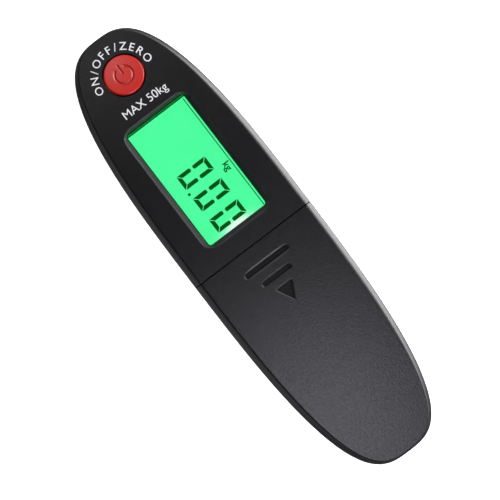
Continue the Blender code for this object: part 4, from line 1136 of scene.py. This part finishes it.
def build_power_mark(bm):
    """A V groove, from its narrow bottom to above the dome: an open ring with a bar through its gap."""
    middle, gap, steps = 2.7, math.radians(36), 48
    bar_length, bar_x = 2.6, -1.95

    def lean(x, y, z):
        return (x, y, z + BUTTON_SLOPE * x - (x * x + y * y) / (2 * BUTTON_DOME_RADIUS))

    open_ring, bar = [], []
    for half, z in ((0.04, 0.42), (0.84, 0.98)):
        reach = math.pi - gap + half / middle
        angles = [reach * (2 * i / steps - 1) for i in range(steps + 1)]
        plan = [((middle + half) * math.cos(a), (middle + half) * math.sin(a)) for a in angles]
        plan += [((middle - half) * math.cos(a), (middle - half) * math.sin(a)) for a in angles[::-1]]
        open_ring.append([lean(x, y, z) for x, y in plan])
        plan = rounded_rectangle(bar_length + 2 * half, 2 * half, 0.98 * half, 4)
        bar.append([lean(x + bar_x, y, z) for x, y in plan])
    add_loft(bm, open_ring)
    add_loft(bm, bar)


def make_button():
    """The red cap. Its engraved mark keeps the groove's material, a darker red that paints shade into the
    groove.
    """
    button = build("button_cap", build_button, BUTTON_FRAME)
    button.data.materials.append(MATERIALS["red"])
    mark = build("power_mark", build_power_mark, BUTTON_FRAME)
    mark.data.materials.append(MATERIALS["red_mark"])
    combine(button, ("DIFFERENCE", mark), material_mode="TRANSFER")
    button.data.shade_smooth()
    button.data.set_sharp_from_angle(angle=math.radians(20))
    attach(button, "button")
    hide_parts("power_button")


# ---------------------------------------- load path


def hook_path():
    """The hook's middle line, folded: from the barrel out to the bowl and round to the open tip."""
    knots = [(-1.6, 0.0), (-6.0, 0.2), (-11.0, 3.6), (-16.5, 9.0), (-22.5, 11.7)]
    knots += arc((HOOK_BOWL_X, 0.0), HOOK_BOWL_RADIUS, math.pi / 2, math.pi, 12)
    knots += [(-27.5, -12.1), (-23.0, -12.9), (-20.0, -14.0)]
    return smooth_path([(x, y, 0.0) for x, y in knots], 6)


def make_hook():
    """The wire hook with the barrel that turns on the pin."""
    hook = build("steel_hook", lambda bm: add_tube(bm, hook_path(), HOOK_WIRE_RADIUS, 32), HOOK_FRAME)
    end, soft = BARREL_HALF_LENGTH, 0.35
    barrel = [(BARREL_RADIUS - soft, -end), (BARREL_RADIUS, -end + soft)]
    barrel += [(BARREL_RADIUS, end - soft), (BARREL_RADIUS - soft, end)]
    bore = [(PIN_HOLE_RADIUS, -end - 1), (PIN_HOLE_RADIUS, end + 1)]
    combine(
        hook,
        ("UNION", build("barrel", lambda bm: add_turned(bm, barrel, axis="Y"), HOOK_FRAME)),
        ("DIFFERENCE", build("bore", lambda bm: add_turned(bm, bore, axis="Y"), HOOK_FRAME)),
    )
    finish_piece(hook, ["steel"], "hook", ["load_hook"])


# ---------------------------------------- batteries


def build_cell(bm, centre_x, y, towards_tail):
    """A cell lying along X: a sleeve rolled over both ends, a steel shoulder and a positive button."""
    half, radius = CELL_LENGTH / 2, CELL_RADIUS
    profile = [(-half, 0.0), (-half, radius - 1.1), (-half + 0.15, radius - 0.9), (-half + 0.1, radius - 0.5)]
    profile += [(-half + 0.35, radius - 0.12), (-half + 0.7, radius), (half - 1.9, radius)]
    profile += [(half - 1.55, radius - 0.1), (half - 1.3, radius - 0.45), (half - 1.4, radius - 1.0)]
    profile += [(half - 1.2, radius - 1.3), (half - 1.2, 1.95), (half - 0.2, 1.9), (half, 1.6), (half, 0.0)]
    direction = 1 if towards_tail else -1
    add_turned(bm, [(r, centre_x + direction * x) for x, r in profile], (y, 0.0), 64, "X")


def make_cells():
    """Two cells that lie opposite ways, each pressed away from its spring."""
    places = ((CELL_SHIFT, CELL_Y, True), (-CELL_SHIFT, -CELL_Y, False))
    for number, (centre_x, y, towards_tail) in enumerate(places, 1):
        cell = build(f"battery_{number}", lambda bm: build_cell(bm, centre_x, y, towards_tail), BAY_FRAME)
        finish_piece(cell, ["cell", "nickel"], "casing", [f"aaa_cell_{number}"])
        for face in cell.data.polygons:
            place = BAY_FRAME.inverted() @ (face.center / MM)
            if math.hypot(place.y - y, place.z) < CELL_RADIUS - 0.6:
                face.material_index = 1


def make_springs():
    """A conical coil at the minus end of each cell."""
    plate_x = BAY_HALF_LENGTH - 0.2 - 0.4
    wide_x = plate_x - 0.3 - 0.3
    narrow_x = CELL_LENGTH / 2 - CELL_SHIFT + 0.3 + 0.3
    wide_radius, narrowing, wire_radius = 3.2, 1.2, 0.26
    turns, steps = 3.5, 126
    for number, side in enumerate((-1, 1), 1):
        path = []
        for i in range(steps + 1):
            fraction = i / steps
            radius = wide_radius - narrowing * fraction
            angle = 2 * math.pi * turns * fraction
            x = side * (wide_x + (narrow_x - wide_x) * fraction)
            path.append((x, -side * CELL_Y + radius * math.cos(angle), radius * math.sin(angle)))
        spring = build(f"coil_spring_{number}", lambda bm: add_tube(bm, path, wire_radius, 12), BAY_FRAME)
        finish_piece(spring, ["nickel"], "casing", [f"contact_spring_{number}"])


# ---------------------------------------- pieces kept from the frame

# The material, how far the edges are softened, and the nodes that have them
KEPT = (
    ("inner", 0.25, ("battery_tray",)),
    ("white", 0.2, ("lcd_holder", "tact_plunger")),
    ("rubber", 0.15, ("zebra_strip",)),
    ("lamp", 0.1, ("backlight_led",)),
    ("board", 0.1, ("main_pcb",)),
    ("blob", 0.0, ("chip_blob",)),
    ("cell", 0.25, ("capacitor_1", "capacitor_2")),
    ("switch", 0.2, ("tact_switch",)),
    ("foil", 0.05, ("strain_gauge",)),
    ("sealant", 0.2, ("gauge_sealant",)),
    ("steel", 0.25, ("hook_yoke",)),
    ("nickel", 0.2, ("crystal",)),
    ("nickel", 0.1, ("contact_plate_1", "contact_plate_2", "contact_bridge")),
    ("zinc", 0.2, ("load_cell_beam", "yoke_nut", "hook_pin")),
    ("zinc", 0.12, ("yoke_washer",)),
    ("zinc", 0.12, [f"housing_screw_{number}" for number in (1, 2, 3, 4)]),
    ("zinc", 0.12, [f"{place}_screw_{number}" for place in ("beam", "pcb", "tray") for number in (1, 2)]),
    ("red_wire", 0.0, ("battery_wire_red", "gauge_wire_1")),
    ("white_wire", 0.0, ("gauge_wire_2",)),
    ("black_wire", 0.0, ("battery_wire_black", "gauge_wire_3")),
)


def dress_frame():
    """Gives each node that stays its material, and softens its edges."""
    for material, edge, names in KEPT:
        for name in names:
            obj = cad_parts[name]
            obj.data.materials.clear()
            obj.data.materials.append(MATERIALS[material])
            weld = obj.modifiers.new("weld", "WELD")
            weld.merge_threshold = 0.002 * MM
            if edge:
                bevel = obj.modifiers.new("soft_edges", "BEVEL")
                bevel.width = edge * MM
                bevel.segments = 2
                bevel.limit_method = "ANGLE"
                bevel.angle_limit = math.radians(50)
                bevel.harden_normals = False


# ---------------------------------------- stage and camera


def when_seen(tree, seen, unseen):
    """A value that is one thing where the camera looks at it and another for the light that it gives off."""
    path = tree.nodes.new("ShaderNodeLightPath")
    mix = tree.nodes.new("ShaderNodeMapRange")
    set_inputs(mix, To_Min=unseen, To_Max=seen)
    tree.links.new(path.outputs["Is Camera Ray"], mix.inputs["Value"])
    return mix.outputs["Result"]


def make_stage():
    """A pale floor. It shows white, and throws little light back up, so that the dark casing stays dark."""
    floor = build("floor", lambda bm: add_rod(bm, 4000.0, -2.0, -0.02, sides=64))
    nodes = Nodes("pale_floor")
    nodes.set(Roughness=0.9, Specular_IOR_Level=0.0, Emission_Color=(1.0, 1.0, 1.0, 1.0))
    nodes.link(when_seen(nodes.tree, 0.9, 0.13), "Base Color")
    nodes.link(when_seen(nodes.tree, 0.97, 0.0), "Emission Strength")
    floor.data.materials.append(nodes.material)


def area_light(name, place, aim, size, power, colour=(1.0, 1.0, 1.0)):
    """A soft rectangular light, in metres and watts."""
    data = bpy.data.lights.new(name, "AREA")
    data.shape = "RECTANGLE"
    data.size, data.size_y = size
    data.energy = power
    data.color = colour
    lamp = bpy.data.objects.new(name, data)
    lamp.location = place
    lamp.rotation_euler = (Vector(aim) - Vector(place)).to_track_quat("-Z", "Y").to_euler()
    lamp.visible_camera = False
    bpy.context.scene.collection.objects.link(lamp)


def make_lights():
    """Softboxes over the tail, the head and the far side, and two cards that light the flanks from below."""
    area_light("tail_softbox", (0.62, -0.12, 1.25), (0, 0, 0.02), (0.45, 0.7), 11.2, (0.92, 0.89, 1.0))
    area_light("head_softbox", (-1.0, -0.05, 0.9), (0, 0, 0.02), (0.5, 0.9), 3.5)
    area_light("side_softbox", (0.0, 1.1, 0.75), (0, 0, 0.02), (1.2, 0.5), 26.0)
    area_light("side_card", (0.01, 0.09, 0.003), (0.01, 0.09, 1.0), (0.32, 0.12), 0.42)
    area_light("far_card", (0.03, -0.09, 0.003), (0.03, -0.09, 1.0), (0.22, 0.12), 0.02)
    world = bpy.data.worlds.new("studio")
    world.use_nodes = True
    tree = world.node_tree
    background = tree.nodes["Background"]
    set_inputs(background, Color=(1.0, 1.0, 1.0, 1.0))
    tree.links.new(when_seen(tree, 1.0, 0.035), background.inputs["Strength"])
    bpy.context.scene.world = world


def make_camera():
    """A long lens almost straight above the scale, turned so that the handle runs down to the right."""
    data = bpy.data.cameras.new("camera")
    data.sensor_width = 36.0
    data.lens = 319.8
    data.clip_start, data.clip_end = 0.05, 50.0
    camera = bpy.data.objects.new("camera", data)
    camera.location = (0.00911, -0.03187, 1.30264)
    camera.rotation_euler = (0.0196, -0.0148, 0.9198)
    bpy.context.scene.collection.objects.link(camera)
    bpy.context.scene.camera = camera


def main():
    """Makes every piece, the stage, the lights and the camera."""
    make_head_cover()
    make_battery_cover()
    make_bottom_housing()
    make_text()
    make_display()
    make_button()
    make_hook()
    make_cells()
    make_springs()
    dress_frame()
    make_stage()
    make_lights()
    make_camera()
    bpy.context.scene.view_settings.view_transform = "Standard"


main()
